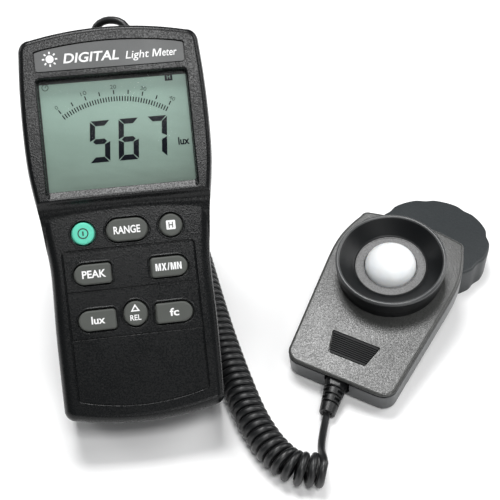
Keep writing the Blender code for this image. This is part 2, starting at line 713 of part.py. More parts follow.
def case_screws(frame):
    for number, (x, y) in enumerate(SCREW_SPOTS, 1):
        screw(f"case_screw_{number}", x, y, CASE_SCREW_HEAD, CASE_SCREW_SHANK, frame)


def meter_gland(frame):
    """The bush that holds the lead in the meter's upper end."""
    x, _, z = LEAD_ROUTE[0]
    bush = turned(revolve(GLAND_PROFILE, 20), "X", -90)
    finish("lead_gland", moved(bush, (x, 0, z)), VINYL_BLACK, 0.6, parent=frame)


def head_base(frame):
    outline = head_outline()
    base = finish("head_base", loft(shell_rings(outline, HEAD_BASE_EDGE)), BASE_GREY, 0.45,
                  parent=frame)
    posts = []
    bores = []
    for x, y in HEAD_SCREW_SPOTS:
        posts.append(moved(cylinder(*HEAD_POST, 16), (x, y, 0)))
        bores.append(moved(revolve(HEAD_SCREW_WELL, 16), (x, y, 0)))
    notch = prism(rectangle(NOTCH_R, *NOTCH_Y), NOTCH_Z, 13.0)
    round_end = turned(cylinder(NOTCH_R, *NOTCH_Y, 24), "X", -90)
    combine(base, helper("head_cavity", prism(inset(outline, HEAD_WALL), HEAD_FLOOR_Z, 20), frame),
            "DIFFERENCE")
    combine(base, helper("head_posts", merged(posts), frame), "UNION")
    combine(base, helper("head_bores", merged(bores), frame), "DIFFERENCE")
    combine(base, helper("relief_notch", notch, frame), "DIFFERENCE")
    combine(base, helper("relief_notch_round", moved(round_end, (0, 0, NOTCH_Z)), frame), "DIFFERENCE")


def grip_outline(grow):
    """The grip's trapezoid, grown outwards."""
    outline = []
    for x, y in GRIP_CORNERS:
        outline.append((x + math.copysign(grow, x), y - grow if y == GRIP_CORNERS[0][1] else y + grow))
    return outline


def head_cover(frame):
    outline = head_outline()
    plug_inset, plug_z = COVER_PLUG
    plug = inset(outline, plug_inset)
    rings = [(plug, plug_z), (plug, HEAD_COVER_EDGE[0][0])] + shell_rings(outline, HEAD_COVER_EDGE)
    cover = finish("head_cover", loft(rings), COVER_GREY, 0.5, parent=frame)
    light_hole = moved(cylinder(LIGHT_HOLE_R, 5, 20, 32), (0, RING_Y, 0))
    holes = [light_hole]
    for x, y in HEAD_SCREW_SPOTS:
        holes.append(moved(cylinder(*COVER_SCREW_BORE, 12), (x, y, 0)))
    relief = moved(turned(cylinder(NOTCH_R + 0.1, *NOTCH_Y, 24), "X", -90), (0, 0, NOTCH_Z))
    combine(cover, helper("cover_holes", merged(holes), frame), "DIFFERENCE")
    combine(cover, helper("grip_recess", prism(grip_outline(GAP), GRIP_RECESS_Z, 20), frame), "DIFFERENCE")
    combine(cover, helper("cover_relief_notch", relief, frame), "DIFFERENCE")
    finish("grip_inlay", prism(grip_outline(0.0), *GRIP_Z), GRIP_BLACK, 0.6, parent=frame)


def collar(frame):
    """The dust cover's seat: a boss, a wider flange and a funnel down to the dome."""
    ring = finish("collar_ring", revolve(COLLAR_PROFILE, 48), COLLAR_BLACK, 0.35, parent=frame)
    ring.location = Vector((0, RING_Y, 0)) * MM


def sensor(frame):
    """The diffuser dome and what is under it."""
    inner_r = DOME_R + WASHER_CLEARANCE
    washer = revolve([(inner_r, WASHER_FOOT_Z), (WASHER_R, WASHER_FOOT_Z), (WASHER_R, DOME_SEAT),
                      (inner_r, DOME_SEAT)], 40)
    dome_height = DOME_TOP - DOME_SEAT
    outer = []
    for step in range(1, 6):
        angle = math.radians(15 * step)
        outer.append((DOME_R * math.sin(angle), DOME_SEAT + dome_height * math.cos(angle)))
    inner = []
    for step in range(1, 3):
        angle = math.radians(30 * step)
        hollow_height = (dome_height - DOME_WALL) * math.cos(angle)
        inner.append((DOME_INNER_R * math.sin(angle), DOME_SEAT + hollow_height))
    low, high = DOME_FLANGE_Z
    skirt = [(DOME_R, DOME_SEAT), (DOME_R, high), (DOME_FLANGE_R, high), (DOME_FLANGE_R, low),
             (DOME_INNER_R, low)]
    profile = [(0, DOME_TOP)] + outer + skirt + inner[::-1] + [(0, DOME_TOP - DOME_WALL)]
    parts = [
        ("dome_washer", washer, WASHER_GREY, 0.6, 0.0),
        ("diffuser_dome", revolve(profile, 32), OPAL_WHITE, 0.35, 0.0),
        ("colour_filter", cylinder(*FILTER, 24), FILTER_GREEN, 0.1, 0.0),
        ("photodiode", prism(rectangle(PHOTODIODE_X, -PHOTODIODE_Y, PHOTODIODE_Y, 0.6), *PHOTODIODE_Z),
         SILICON_BLACK, 0.2, 0.0),
    ]
    for name, bm, colour, roughness, metallic in parts:
        obj = finish(name, bm, colour, roughness, metallic, frame)
        obj.location = Vector((0, RING_Y, 0)) * MM
    board = prism(rectangle(*HEAD_BOARD, 2.0), *HEAD_BOARD_Z)
    finish("head_board", board, BOARD_GREEN, 0.5, parent=frame)
    for number, (x, y) in enumerate(HEAD_SCREW_SPOTS, 1):
        screw(f"head_screw_{number}", x, y, HEAD_SCREW_HEAD, HEAD_SCREW_SHANK, frame)


def head_relief():
    """The ribbed, tapered strain relief on the sensor end of the lead."""
    start, end = [shifted(*point) for point in RELIEF_ROUTE]
    length = (end - start).length
    root_r, tip_r = RELIEF_R
    profile = [(0, 0.0)]
    for segment in range(RELIEF_SEGMENTS):
        last = segment == RELIEF_SEGMENTS - 1
        low = length * segment / RELIEF_SEGMENTS
        high = length * (segment + 1) / RELIEF_SEGMENTS - (0.0 if last else RELIEF_GROOVE)
        for along in (low, high):
            profile.append((root_r + (tip_r - root_r) * along / length, along))
        if not last:
            middle = high + RELIEF_GROOVE / 2
            groove_r = root_r + (tip_r - root_r) * middle / length - RELIEF_GROOVE_DEPTH
            profile.append((groove_r, high))
            profile.append((groove_r, high + RELIEF_GROOVE))
    profile.append((0, length))
    relief = finish("head_strain_relief", revolve(profile, 24), VINYL_BLACK, 0.55)
    direction = (end - start).to_track_quat("Z", "Y")
    relief.matrix_world = Matrix.Translation(start * MM) @ direction.to_matrix().to_4x4()


def dust_cover():
    """A shallow fluted cap, closed on top and open below."""
    def ring(radius, flutes):
        points = []
        steps = CAP_FLUTES * CAP_STEPS_PER_FLUTE
        for step in range(steps):
            angle = 2 * math.pi * step / steps
            dip = max(0.0, math.cos(CAP_FLUTES * angle)) ** 2 * CAP_FLUTE_DEPTH * flutes
            points.append(((radius - dip) * math.cos(angle), (radius - dip) * math.sin(angle)))
        return points

    rings = [(ring(CAP_R - distance, flutes), height) for distance, flutes, height in CAP_EDGE]
    cap = finish("dust_cover", loft(rings), CAP_BLACK, 0.45)
    hollow = helper("cap_hollow", cylinder(CAP_R - CAP_WALL, -1.0, CAP_HEIGHT - CAP_ROOF, 48), None)
    for obj in (cap, hollow):
        obj.location = shifted(CAP_X, CAP_Y) * MM
    combine(cap, hollow, "DIFFERENCE")


def tube(name, points, radius, resolution):
    """A round tube with closed ends along points in millimetres."""
    curve = bpy.data.curves.new(name, "CURVE")
    curve.dimensions = "3D"
    curve.bevel_depth = radius * MM
    curve.bevel_resolution = resolution
    curve.use_fill_caps = True
    spline = curve.splines.new("POLY")
    spline.points.add(len(points) - 1)
    for spot, point in zip(spline.points, points):
        spot.co = (*(point * MM), 1.0)
    obj = bpy.data.objects.new(name, curve)
    bpy.context.scene.collection.objects.link(obj)
    curve.materials.append(material(name + "_material", VINYL_BLACK, 0.4))


def lead(frame):
    """The lead: up out of the gland and over, down behind the meter, the coil, and the sensor end."""
    loop = [frame.matrix_world @ (Vector(point) * MM) / MM for point in LEAD_ROUTE]
    hang = [shifted(*point) for point in HANG_ROUTE]
    tube("lead_meter_end", evenly(catmull_rom(loop + hang, 8), LEAD_STEP), WIRE_R, 2)
    axis = [shifted(x, y, COIL_R) for x, y in COIL_ROUTE]
    tube("lead_coil", evenly(catmull_rom(axis, 8), COIL_STEP), COIL_R, 4)
    tail = [shifted(*point) for point in TAIL_ROUTE]
    tube("lead_sensor_end", evenly(catmull_rom(tail, 8), LEAD_STEP / 1.5), WIRE_R, 2)


def clear_scene():
    for obj in list(bpy.data.objects):
        bpy.data.objects.remove(obj, do_unlink=True)


def build():
    clear_scene()
    meter = meter_frame()
    front_case(meter)
    rear_case(meter)
    display(meter)
    electronics(meter)
    buttons(meter)
    battery(meter)
    battery_door(meter)
    tilt_stand(meter)
    case_screws(meter)
    meter_gland(meter)
    head = head_frame()
    head_base(head)
    head_cover(head)
    collar(head)
    sensor(head)
    head_relief()
    dust_cover()
    lead(meter)


build()
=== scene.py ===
"""Looks of the hand-held light meter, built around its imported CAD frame.

Shapes are written in millimetres in the frame of the body that they belong to: METER and HEAD place them.
"""

import math

import bmesh
import bpy
from mathutils import Matrix, Vector


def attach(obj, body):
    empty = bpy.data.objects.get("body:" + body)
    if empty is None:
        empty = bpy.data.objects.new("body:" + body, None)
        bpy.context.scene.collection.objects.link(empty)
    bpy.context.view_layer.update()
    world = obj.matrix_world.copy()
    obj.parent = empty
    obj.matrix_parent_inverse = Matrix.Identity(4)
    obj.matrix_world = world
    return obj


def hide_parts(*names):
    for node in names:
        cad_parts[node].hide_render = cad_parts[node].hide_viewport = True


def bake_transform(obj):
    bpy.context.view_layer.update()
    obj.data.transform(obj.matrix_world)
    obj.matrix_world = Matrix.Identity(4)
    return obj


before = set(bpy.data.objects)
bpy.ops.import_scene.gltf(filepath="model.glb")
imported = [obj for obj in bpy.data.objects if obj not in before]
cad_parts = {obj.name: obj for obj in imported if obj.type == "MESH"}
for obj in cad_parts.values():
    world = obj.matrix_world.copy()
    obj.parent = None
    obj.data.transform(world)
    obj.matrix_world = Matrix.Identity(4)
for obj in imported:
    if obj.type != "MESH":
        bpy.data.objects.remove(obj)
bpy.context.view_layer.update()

MM = 0.001
GAP = 0.3

# ---------------------------------------------------------------- places, as the CAD source has them
ORIGIN = Vector((10.23, -48.89, 0.0))
METER_BASE = (-52.23, -44.11, -0.64)
METER_TURN = 8.4
METER_TILT = 44.0
HEAD_BASE = (25.87, -36.31, -0.4015)
HEAD_TURN = -28.2
HEAD_LEAN = 12.2
CAP_CENTRE = (75.07, 43.89, 0.0)

# ---------------------------------------------------------------- camera
CAMERA_AT = (-10.23, -272.5, 309.1)
CAMERA_AIM = (-10.23, 48.89, 0.0)
CAMERA_LENS = 66.67


def placing(base, turn, tilt):
    """The matrix of a body's frame: X across it, Y up along it and Z out of its face."""
    return (Matrix.Translation(Vector(base) * MM) @ Matrix.Rotation(math.radians(turn), 4, "Z")
            @ Matrix.Rotation(math.radians(tilt), 4, "X"))


METER = placing(METER_BASE, METER_TURN, METER_TILT)
HEAD = placing(HEAD_BASE, HEAD_TURN, HEAD_LEAN)
CAP = Matrix.Translation(Vector(CAP_CENTRE) * MM)


def make_camera():
    data = bpy.data.cameras.new("camera")
    data.lens = CAMERA_LENS
    data.sensor_width = 36.0
    data.clip_start = 0.01
    data.clip_end = 20.0
    camera = bpy.data.objects.new("camera", data)
    bpy.context.scene.collection.objects.link(camera)
    camera.location = Vector(CAMERA_AT) * MM
    aim = Vector(CAMERA_AIM) - Vector(CAMERA_AT)
    camera.rotation_euler = aim.to_track_quat("-Z", "Y").to_euler()
    bpy.context.scene.camera = camera


# ---------------------------------------------------------------- material building
class Recipe:
    """A Principled material and short ways to add nodes to it."""

    def __init__(self, name, colour, roughness, metallic=0.0):
        self.material = bpy.data.materials.new(name)
        self.material.use_nodes = True
        self.tree = self.material.node_tree
        self.shader = self.tree.nodes["Principled BSDF"]
        self.shader.inputs["Base Color"].default_value = (*colour, 1.0)
        self.shader.inputs["Roughness"].default_value = roughness
        self.shader.inputs["Metallic"].default_value = metallic
        self.place = self.node("TexCoord").outputs["Object"]

    def node(self, kind, **settings):
        made = self.tree.nodes.new("ShaderNode" + kind)
        for key, value in settings.items():
            setattr(made, key, value)
        return made

    def link(self, a, b):
        self.tree.links.new(a, b)

    def noise(self, size_mm, detail=3.0, rough=0.6, stretch=None):
        """A noise whose features are about size_mm across."""
        source = self.place
        if stretch:
            mapping = self.node("Mapping")
            mapping.inputs["Scale"].default_value = stretch
            self.link(source, mapping.inputs["Vector"])
            source = mapping.outputs["Vector"]
        made = self.node("TexNoise")
        made.inputs["Scale"].default_value = 1.0 / (size_mm * MM)
        made.inputs["Detail"].default_value = detail
        made.inputs["Roughness"].default_value = rough
        self.link(source, made.inputs["Vector"])
        return made.outputs["Fac"]

    def remap(self, value, low, high, start=0.0, end=1.0):
        made = self.node("MapRange")
        made.inputs["From Min"].default_value = low
        made.inputs["From Max"].default_value = high
        made.inputs["To Min"].default_value = start
        made.inputs["To Max"].default_value = end
        self.link(value, made.inputs["Value"])
        return made.outputs["Result"]

    def add(self, a, b):
        made = self.node("Math", operation="ADD")
        self.link(a, made.inputs[0])
        self.link(b, made.inputs[1])
        return made.outputs["Value"]

    def mix(self, factor, a, b):
        """A colour mix; a and b are colours or sockets."""
        made = self.node("Mix", data_type="RGBA")
        self.link(factor, made.inputs["Factor"])
        for value, socket in ((a, made.inputs[6]), (b, made.inputs[7])):
            if isinstance(value, tuple):
                socket.default_value = (*value, 1.0)
            else:
                self.link(value, socket)
        return made.outputs[2]

    def bump(self, height, depth_mm):
        made = self.node("Bump")
        made.inputs["Distance"].default_value = depth_mm * MM
        made.inputs["Strength"].default_value = 1.0
        self.link(height, made.inputs["Height"])
        return made.outputs["Normal"]

    def set(self, name, value):
        self.shader.inputs[name].default_value = value

    def drive(self, name, socket):
        self.link(socket, self.shader.inputs[name])


def scaled(colour, factor):
    return tuple(min(1.0, channel * factor) for channel in colour)


def grained(name, colour, roughness, grain_mm, depth_mm, contrast=0.25, gloss=0.5, sparkle=0.0):
    """Moulded plastic with a fine eroded grain, faint clouding and rubbed patches.

    sparkle is how much the grain's hollows are duller than its tops.
    """
    r = Recipe(name, colour, roughness)
    grain = r.noise(grain_mm, 2.0, 0.7)
    clouds = r.noise(22.0, 4.0, 0.55)
    fine = r.remap(grain, 0.3, 0.7)
    base = r.mix(fine, scaled(colour, 1.0 - contrast), scaled(colour, 1.0 + contrast))
    lighter = r.mix(r.remap(clouds, 0.45, 0.75, 0.0, 0.22), base, scaled(colour, 1.35))
    r.drive("Base Color", lighter)
    worn = r.remap(clouds, 0.3, 0.7, roughness + 0.05, roughness - 0.05)
    r.drive("Roughness", r.add(worn, r.remap(grain, 0.35, 0.65, sparkle, -sparkle)))
    r.drive("Normal", r.bump(grain, depth_mm))
    r.set("Specular IOR Level", gloss)
    return r.material


def rubbery(name, colour, roughness, sheen=0.15):
    """Soft moulded rubber or vinyl with dust in its finest pores."""
    r = Recipe(name, colour, roughness)
    pores = r.noise(0.25, 2.0, 0.6)
    dust = r.noise(7.0, 5.0, 0.6)
    r.drive("Base Color", r.mix(r.remap(dust, 0.5, 0.8, 0.0, 0.35), scaled(colour, 0.95),
                                scaled(colour, 1.5)))
    r.drive("Roughness", r.remap(dust, 0.3, 0.7, roughness - 0.05, roughness + 0.07))
    r.drive("Normal", r.bump(pores, 0.015))
    r.set("Sheen Weight", sheen)
    r.set("Sheen Roughness", 0.4)
    return r.material


# ---------------------------------------------------------------- mesh building, in millimetres
def loft(rings):
    """A closed bmesh through rings of equal length; each ring is (outline, height)."""
    bm = bmesh.new()
    loops = [[bm.verts.new((x, y, height)) for x, y in outline] for outline, height in rings]
    count = len(loops[0])
    for low, high in zip(loops, loops[1:]):
        for i in range(count):
            j = (i + 1) % count
            bm.faces.new((low[i], low[j], high[j], high[i]))
    bm.faces.new(loops[0][::-1])
    bm.faces.new(loops[-1])
    return bm


def prism(outline, low, high):
    return loft([(outline, low), (outline, high)])


def merged(parts):
    """One bmesh that holds several separate ones."""
    whole = bmesh.new()
    for part in parts:
        mesh = bpy.data.meshes.new("scratch")
        part.to_mesh(mesh)
        part.free()
        whole.from_mesh(mesh)
        bpy.data.meshes.remove(mesh)
    return whole


def revolve(profile, steps=96):
    """A solid turned about Z from a closed profile of (radius, height)."""
    bm = bmesh.new()
    columns = []
    for step in range(steps):
        angle = 2 * math.pi * step / steps
        columns.append([bm.verts.new((r * math.cos(angle), r * math.sin(angle), z)) for r, z in profile])
    count = len(profile)
    for step in range(steps):
        here = columns[step]
        there = columns[(step + 1) % steps]
        for i in range(count):
            j = (i + 1) % count
            if profile[i][0] == 0 and profile[j][0] == 0:
                continue
            bm.faces.new((here[i], there[i], there[j], here[j]))
    bmesh.ops.remove_doubles(bm, verts=bm.verts, dist=1e-5)
    bmesh.ops.dissolve_degenerate(bm, edges=bm.edges, dist=1e-5)
    return bm


def moved(bm, shift):
    bmesh.ops.translate(bm, verts=bm.verts, vec=Vector(shift))
    return bm


def turned(bm, axis, degrees):
    bmesh.ops.rotate(bm, verts=bm.verts, matrix=Matrix.Rotation(math.radians(degrees), 3, axis))
    return bm


def arc(x, y, radius, start, end, steps):
    """Points on an arc from one angle to another, both ends included."""
    angles = [math.radians(start + (end - start) * step / steps) for step in range(steps + 1)]
    return [(x + radius * math.cos(angle), y + radius * math.sin(angle)) for angle in angles]


def rectangle(half_x, low_y, high_y, radius=0.0, steps=6):
    """A rectangle's outline, anticlockwise, with rounded corners where a radius is given."""
    corners = [(half_x, low_y, -90), (half_x, high_y, 0), (-half_x, high_y, 90), (-half_x, low_y, 180)]
    if radius == 0:
        return [(x, y) for x, y, _ in corners]
    outline = []
    for x, y, start in corners:
        centre_x = x - math.copysign(radius, x)
        centre_y = y + (radius if y == low_y else -radius)
        outline += arc(centre_x, centre_y, radius, start, start + 90, steps)
    return outline


def placed(outline, x, y):
    return [(px + x, py + y) for px, py in outline]


def inset(outline, distance):
    """The outline moved inwards, each corner along its own bisector. The outline runs anticlockwise."""
    result = []
    count = len(outline)
    for i in range(count):
        before = Vector(outline[i - 1])
        here = Vector(outline[i])
        after = Vector(outline[(i + 1) % count])
        first = (here - before).normalized()
        second = (after - here).normalized()
        normal = Vector((-first.y - second.y, first.x + second.x)).normalized()
        reach = distance / max(0.5, normal.dot(Vector((-first.y, first.x))))
        result.append((here.x + normal.x * reach, here.y + normal.y * reach))
    return result


def catmull_rom(points, steps):
    """Points on a smooth curve through the given ones, a number of steps for each span."""
    padded = [points[0] * 2 - points[1]] + points + [points[-1] * 2 - points[-2]]
    curve = []
    for i in range(1, len(padded) - 2):
        a, b, c, d = padded[i - 1:i + 3]
        for step in range(steps):
            t = step / steps
            blend = (b * 2 + (c - a) * t + (a * 2 - b * 5 + c * 4 - d) * t ** 2
                     + (b * 3 - a - c * 3 + d) * t ** 3)
            curve.append(blend * 0.5)
    curve.append(points[-1])
    return curve


def half_outline(sides, bottom, top, fine=4):
    """The right half of a body's outline, from the bottom's middle to the top's."""
    points = []
    bottom_y, bottom_rise, bottom_x = bottom
    flat_steps = 4 * fine
    for step in range(flat_steps + 1):
        x = bottom_x * step / flat_steps
        points.append((x, bottom_y + bottom_rise * (x / bottom_x) ** 2))
    low_y, low_x = sides[0]
    corner_low = points[-1][1]
    corner_steps = 3 * fine
    for step in range(1, corner_steps):
        angle = math.radians(90 * step / corner_steps)
        x = bottom_x + (low_x - bottom_x) * math.sin(angle)
        points.append((x, low_y - (low_y - corner_low) * math.cos(angle)))
    points += [(p.x, p.y) for p in catmull_rom([Vector((x, y)) for y, x in sides], fine)]
    top_y, top_fall, top_x = top
    high_y, high_x = sides[-1]
    corner_y = top_y - top_fall
    for step in range(1, corner_steps + 1):
        angle = math.radians(90 * step / corner_steps)
        x = top_x + (high_x - top_x) * math.cos(angle)
        points.append((x, high_y + (corner_y - high_y) * math.sin(angle)))
    for step in range(1, flat_steps + 1):
        x = top_x * (flat_steps - step) / flat_steps
        points.append((x, top_y - top_fall * (x / top_x) ** 2))
    return points


def mirrored(half):
    return half + [(-x, y) for x, y in half[-2:0:-1]]


def shell_rings(outline, edge):
    return [(inset(outline, distance), height) for height, distance in edge]


def swept(path, section, closed=True):
    """A bmesh of a section swept along a path of (x, y); the section is (across, height) round the line."""
    bm = bmesh.new()
    count = len(path)
    rings = []
    for i in range(count):
        here = Vector(path[i])
        before = Vector(path[i - 1]) if closed or i > 0 else here
        after = Vector(path[(i + 1) % count]) if closed or i < count - 1 else here
        tangent = (after - before).normalized()
        side = Vector((tangent.y, -tangent.x))
        rings.append([bm.verts.new((here.x + side.x * a, here.y + side.y * a, h)) for a, h in section])
    spans = count if closed else count - 1
    for i in range(spans):
        low, high = rings[i], rings[(i + 1) % count]
        for k in range(len(section)):
            m = (k + 1) % len(section)
            bm.faces.new((low[k], low[m], high[m], high[k]))
    if not closed:
        bm.faces.new(rings[0][::-1])
        bm.faces.new(rings[-1])
    bmesh.ops.recalc_face_normals(bm, faces=bm.faces)
    return bm


def scratch_object(bm):
    bmesh.ops.recalc_face_normals(bm, faces=bm.faces)
    mesh = bpy.data.meshes.new("scratch")
    bm.to_mesh(mesh)
    bm.free()
    obj = bpy.data.objects.new("scratch", mesh)
    bpy.context.scene.collection.objects.link(obj)
    return obj


def carved(bm, cuts):
    """The bmesh with others cut away in turn; ("UNION", bmesh) in the list adds one instead."""
    obj = scratch_object(bm)
    others = []
    for cut in cuts:
        operation, other = cut if isinstance(cut, tuple) else ("DIFFERENCE", cut)
        cutter = scratch_object(other)
        modifier = obj.modifiers.new("cut", "BOOLEAN")
        modifier.operation = operation
        modifier.solver = "EXACT"
        modifier.object = cutter
        others.append(cutter)
    bpy.context.view_layer.update()
    graph = bpy.context.evaluated_depsgraph_get()
    mesh = bpy.data.meshes.new_from_object(obj.evaluated_get(graph))
    result = bmesh.new()
    result.from_mesh(mesh)
    bpy.data.meshes.remove(mesh)
    for each in [obj] + others:
        data = each.data
        bpy.data.objects.remove(each)
        bpy.data.meshes.remove(data)
    bmesh.ops.dissolve_degenerate(result, edges=result.edges, dist=1e-4)
    return result


def piece(name, bm, place, body, material, stands_for=(), sharp=32.0, weighted=False):
    """A finished object: its millimetres become metres in the shared frame, and it rides on its body."""
    bmesh.ops.transform(bm, matrix=place @ Matrix.Scale(MM, 4), verts=bm.verts)
    bmesh.ops.recalc_face_normals(bm, faces=bm.faces)
    mesh = bpy.data.meshes.new(name)
    bm.to_mesh(mesh)
    bm.free()
    mesh.shade_smooth()
    mesh.set_sharp_from_angle(angle=math.radians(sharp))
    obj = bpy.data.objects.new(name, mesh)
    bpy.context.scene.collection.objects.link(obj)
    obj.data.materials.append(material)
    if weighted:
        modifier = obj.modifiers.new("weighted", "WEIGHTED_NORMAL")
        modifier.keep_sharp = True
    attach(obj, body)
    if stands_for:
        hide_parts(*stands_for)
    return obj


# The built-in font's size, how high its capitals stand at that size, and how thick printed ink is.
FONT_SIZE = 10.0
FONT_CAPITAL = 6.9
INK_THICK = 0.05


def thickened(flat, thick):
    """A closed solid of a flat bmesh, built face by face so that its order is the same each run."""
    solid = bmesh.new()
    flat.verts.index_update()
    low = [solid.verts.new(vert.co) for vert in flat.verts]
    high = [solid.verts.new(vert.co + Vector((0, 0, thick))) for vert in flat.verts]
    for face in flat.faces:
        ring = [vert.index for vert in face.verts]
        solid.faces.new([high[i] for i in ring])
        solid.faces.new([low[i] for i in reversed(ring)])
    for edge in flat.edges:
        if edge.is_boundary:
            a, b = [vert.index for vert in edge.verts]
            solid.faces.new((low[a], low[b], high[b], high[a]))
    flat.free()
    return solid


def lettering(text, low_x, high_x, base_y, cap_height, level, bold=0.0, slant=0.0, thick=INK_THICK):
    """Letters as a thin plate: they fill low_x to high_x, and stand cap_height above base_y."""
    curve = bpy.data.curves.new("letters", "FONT")
    curve.body = text
    curve.size = FONT_SIZE
    curve.offset = bold
    curve.shear = slant
    curve.resolution_u = 4
    obj = bpy.data.objects.new("letters", curve)
    bpy.context.scene.collection.objects.link(obj)
    bpy.context.view_layer.update()
    graph = bpy.context.evaluated_depsgraph_get()
    mesh = bpy.data.meshes.new_from_object(obj.evaluated_get(graph))
    bm = bmesh.new()
    bm.from_mesh(mesh)
    bpy.data.objects.remove(obj)
    bpy.data.meshes.remove(mesh)
    bmesh.ops.remove_doubles(bm, verts=bm.verts, dist=1e-4)
    left = min(v.co.x for v in bm.verts)
    right = max(v.co.x for v in bm.verts)
    stretch = (high_x - low_x) / (right - left)
    rise = cap_height / FONT_CAPITAL
    for vert in bm.verts:
        vert.co = Vector(((vert.co.x - left) * stretch + low_x, vert.co.y * rise + base_y, level))
    return thickened(bm, thick)


# Bold letters drawn as outlines: their stroke, gap and widths are shares of a capital's height.
BOLD_STROKE = 0.19
BOLD_GAP = 0.11
BOLD_WIDTHS = {"M": 0.76, "N": 0.64, "X": 0.64, "/": 0.36}


def bold_letter(letter, width, height, stroke):
    """The outline of one bold letter, anticlockwise from its lower left corner."""
    w, h, s = width, height, stroke
    half = w / 2
    if letter == "M":
        return [(0, 0), (s, 0), (s, h - s * 1.1), (half - s * 0.45, 0), (half + s * 0.45, 0),
                (w - s, h - s * 1.1), (w - s, 0), (w, 0), (w, h), (w - s * 1.35, h), (half, s * 1.4),
                (s * 1.35, h), (0, h)]
    if letter == "N":
        return [(0, 0), (s, 0), (s, h - s * 1.6), (w - s * 1.1, 0), (w, 0), (w, h), (w - s, h),
                (w - s, s * 1.6), (s * 1.1, h), (0, h)]
    if letter == "X":
        arm = s * 1.2
        return [(0, 0), (arm, 0), (half, h * 0.36), (w - arm, 0), (w, 0), (half + arm * 0.5, h / 2), (w, h),
                (w - arm, h), (half, h * 0.64), (arm, h), (0, h), (half - arm * 0.5, h / 2)]
    return [(0, 0), (s * 0.8, 0), (w, h), (w - s * 0.8, h)]


def bold_line(text, low_x, base_y, cap_height, level, wide=None):
    """A line of bold letters as thin plates; wide stretches a single letter to that width."""
    parts = []
    x = low_x
    for letter in text:
        width = wide or BOLD_WIDTHS[letter] * cap_height
        outline = bold_letter(letter, width, cap_height, BOLD_STROKE * cap_height)
        parts.append(plate(placed(outline, x, base_y), level))
        x += width + BOLD_GAP * cap_height
    return merged(parts)


def sheared(bm, slant, base_y):
    """Slanted to the right by a share of the height above base_y."""
    for vert in bm.verts:
        vert.co.x += (vert.co.y - base_y) * slant
    return bm


def plate(points, level, thick=INK_THICK):
    """A thin flat plate of a polygon."""
    return prism(points, level, level + thick)


def bar(start, end, width, level):
    """A thin straight line from start to end."""
    a, b = Vector(start), Vector(end)
    side = Vector(((b - a).y, -(b - a).x)).normalized() * width / 2
    return plate([tuple(a + side), tuple(b + side), tuple(b - side), tuple(a - side)], level)


def ring_plate(x, y, outer, inner, level):
    top = level + INK_THICK
    profile = [(inner, level), (outer, level), (outer, top), (inner, top)]
    return moved(revolve(profile, 48), (x, y, 0))


# ---------------------------------------------------------------- the lead
WIRE_R = 1.55
COIL_R = 6.7
COIL_TURNS = 42
STEPS_PER_TURN = 20
TUBE_SIDES = 12
# From the gland, in the meter's frame.
LEAD_ROUTE = [(7.5, 152.5, 11.0), (7.4, 154.4, 11.0), (4.6, 157.5, 10.0), (-0.5, 158.9, 7.9),
              (-4.9, 157.4, 5.2), (-7.0, 153.0, 1.5)]
# These are counted from ORIGIN.
HANG_ROUTE = [(-66.4, 19.0, 97.0), (-66.0, 21.0, 82.0), (-64.5, 22.5, 64.0), (-62.0, 24.0, 45.0),
              (-58.5, 25.0, 28.0), (-54.5, 25.0, 14.5), (-50.0, 23.0, 5.5), (-45.8, 18.0, 2.6),
              (-42.6, 12.0, 4.4), (-38.8, 6.0, 8.2), (-34.0, 2.2, 11.2)]
COIL_ROUTE = [(-29.0, 2.0), (-24.8, -11.5), (-19.6, -33.0), (-15.3, -50.5), (-11.7, -64.0),
              (-6.6, -81.5), (-0.6, -99.6), (4.5, -110.9), (10.2, -119.7), (17.2, -125.7), (27.8, -127.2)]
TAIL_ROUTE = [(27.6, -123.6, 10.7), (27.4, -119.2, 8.2), (28.0, -112.9, 6.1), (29.9, -103.0, 4.3),
              (30.7, -99.6, 3.9)]
# The last turns lie a little open: from which share of the coil, and by how much.
OPEN_FROM = 0.86
OPEN_BY = 0.12
# Steps for each span of a curve, along the coil's axis, and points on the wire's two loose ends.
SPAN_STEPS = 8
AXIS_SPAN_STEPS = 24
AXIS_STEPS = 1500
HANG_POINTS = 76
TAIL_POINTS = 15


def smooth(value, low, high):
    t = min(1.0, max(0.0, (value - low) / (high - low)))
    return t * t * (3 - 2 * t)


def evenly(curve, count):
    """count points spread evenly along a finely stepped curve."""
    lengths = [0.0]
    for a, b in zip(curve, curve[1:]):
        lengths.append(lengths[-1] + (b - a).length)
    result = []
    index = 0
    for i in range(count):
        target = lengths[-1] * i / (count - 1)
        while index < len(curve) - 2 and lengths[index + 1] < target:
            index += 1
        span = lengths[index + 1] - lengths[index]
        result.append(curve[index].lerp(curve[index + 1], (target - lengths[index]) / span))
    return result


def coil_points():
    """The wire's centre line through the coil: a left-handed helix about the coil's route on the table."""
    route = [Vector((x, y, COIL_R)) - ORIGIN for x, y in COIL_ROUTE]
    axis = evenly(catmull_rom(route, AXIS_SPAN_STEPS), AXIS_STEPS)
    turns = [0.0]
    for step in range(1, AXIS_STEPS):
        turns.append(turns[-1] + 1.0 / (1.0 + OPEN_BY * smooth(step / AXIS_STEPS, OPEN_FROM, 1.0)))
    scale = COIL_TURNS / turns[-1]
    radius = COIL_R - WIRE_R
    points = []
    index = 0
    for step in range(COIL_TURNS * STEPS_PER_TURN + 1):
        turn = step / STEPS_PER_TURN
        while index < AXIS_STEPS - 2 and turns[index + 1] * scale < turn:
            index += 1
        share = (turn / scale - turns[index]) / (turns[index + 1] - turns[index])
        centre = axis[index].lerp(axis[index + 1], min(1.0, share))
        tangent = (axis[index + 1] - axis[max(0, index - 1)]).normalized()
        side = tangent.cross(Vector((0, 0, 1)))
        angle = 2 * math.pi * turn
        points.append(centre + Vector((0, 0, radius * math.cos(angle))) - side * (radius * math.sin(angle)))
    return points


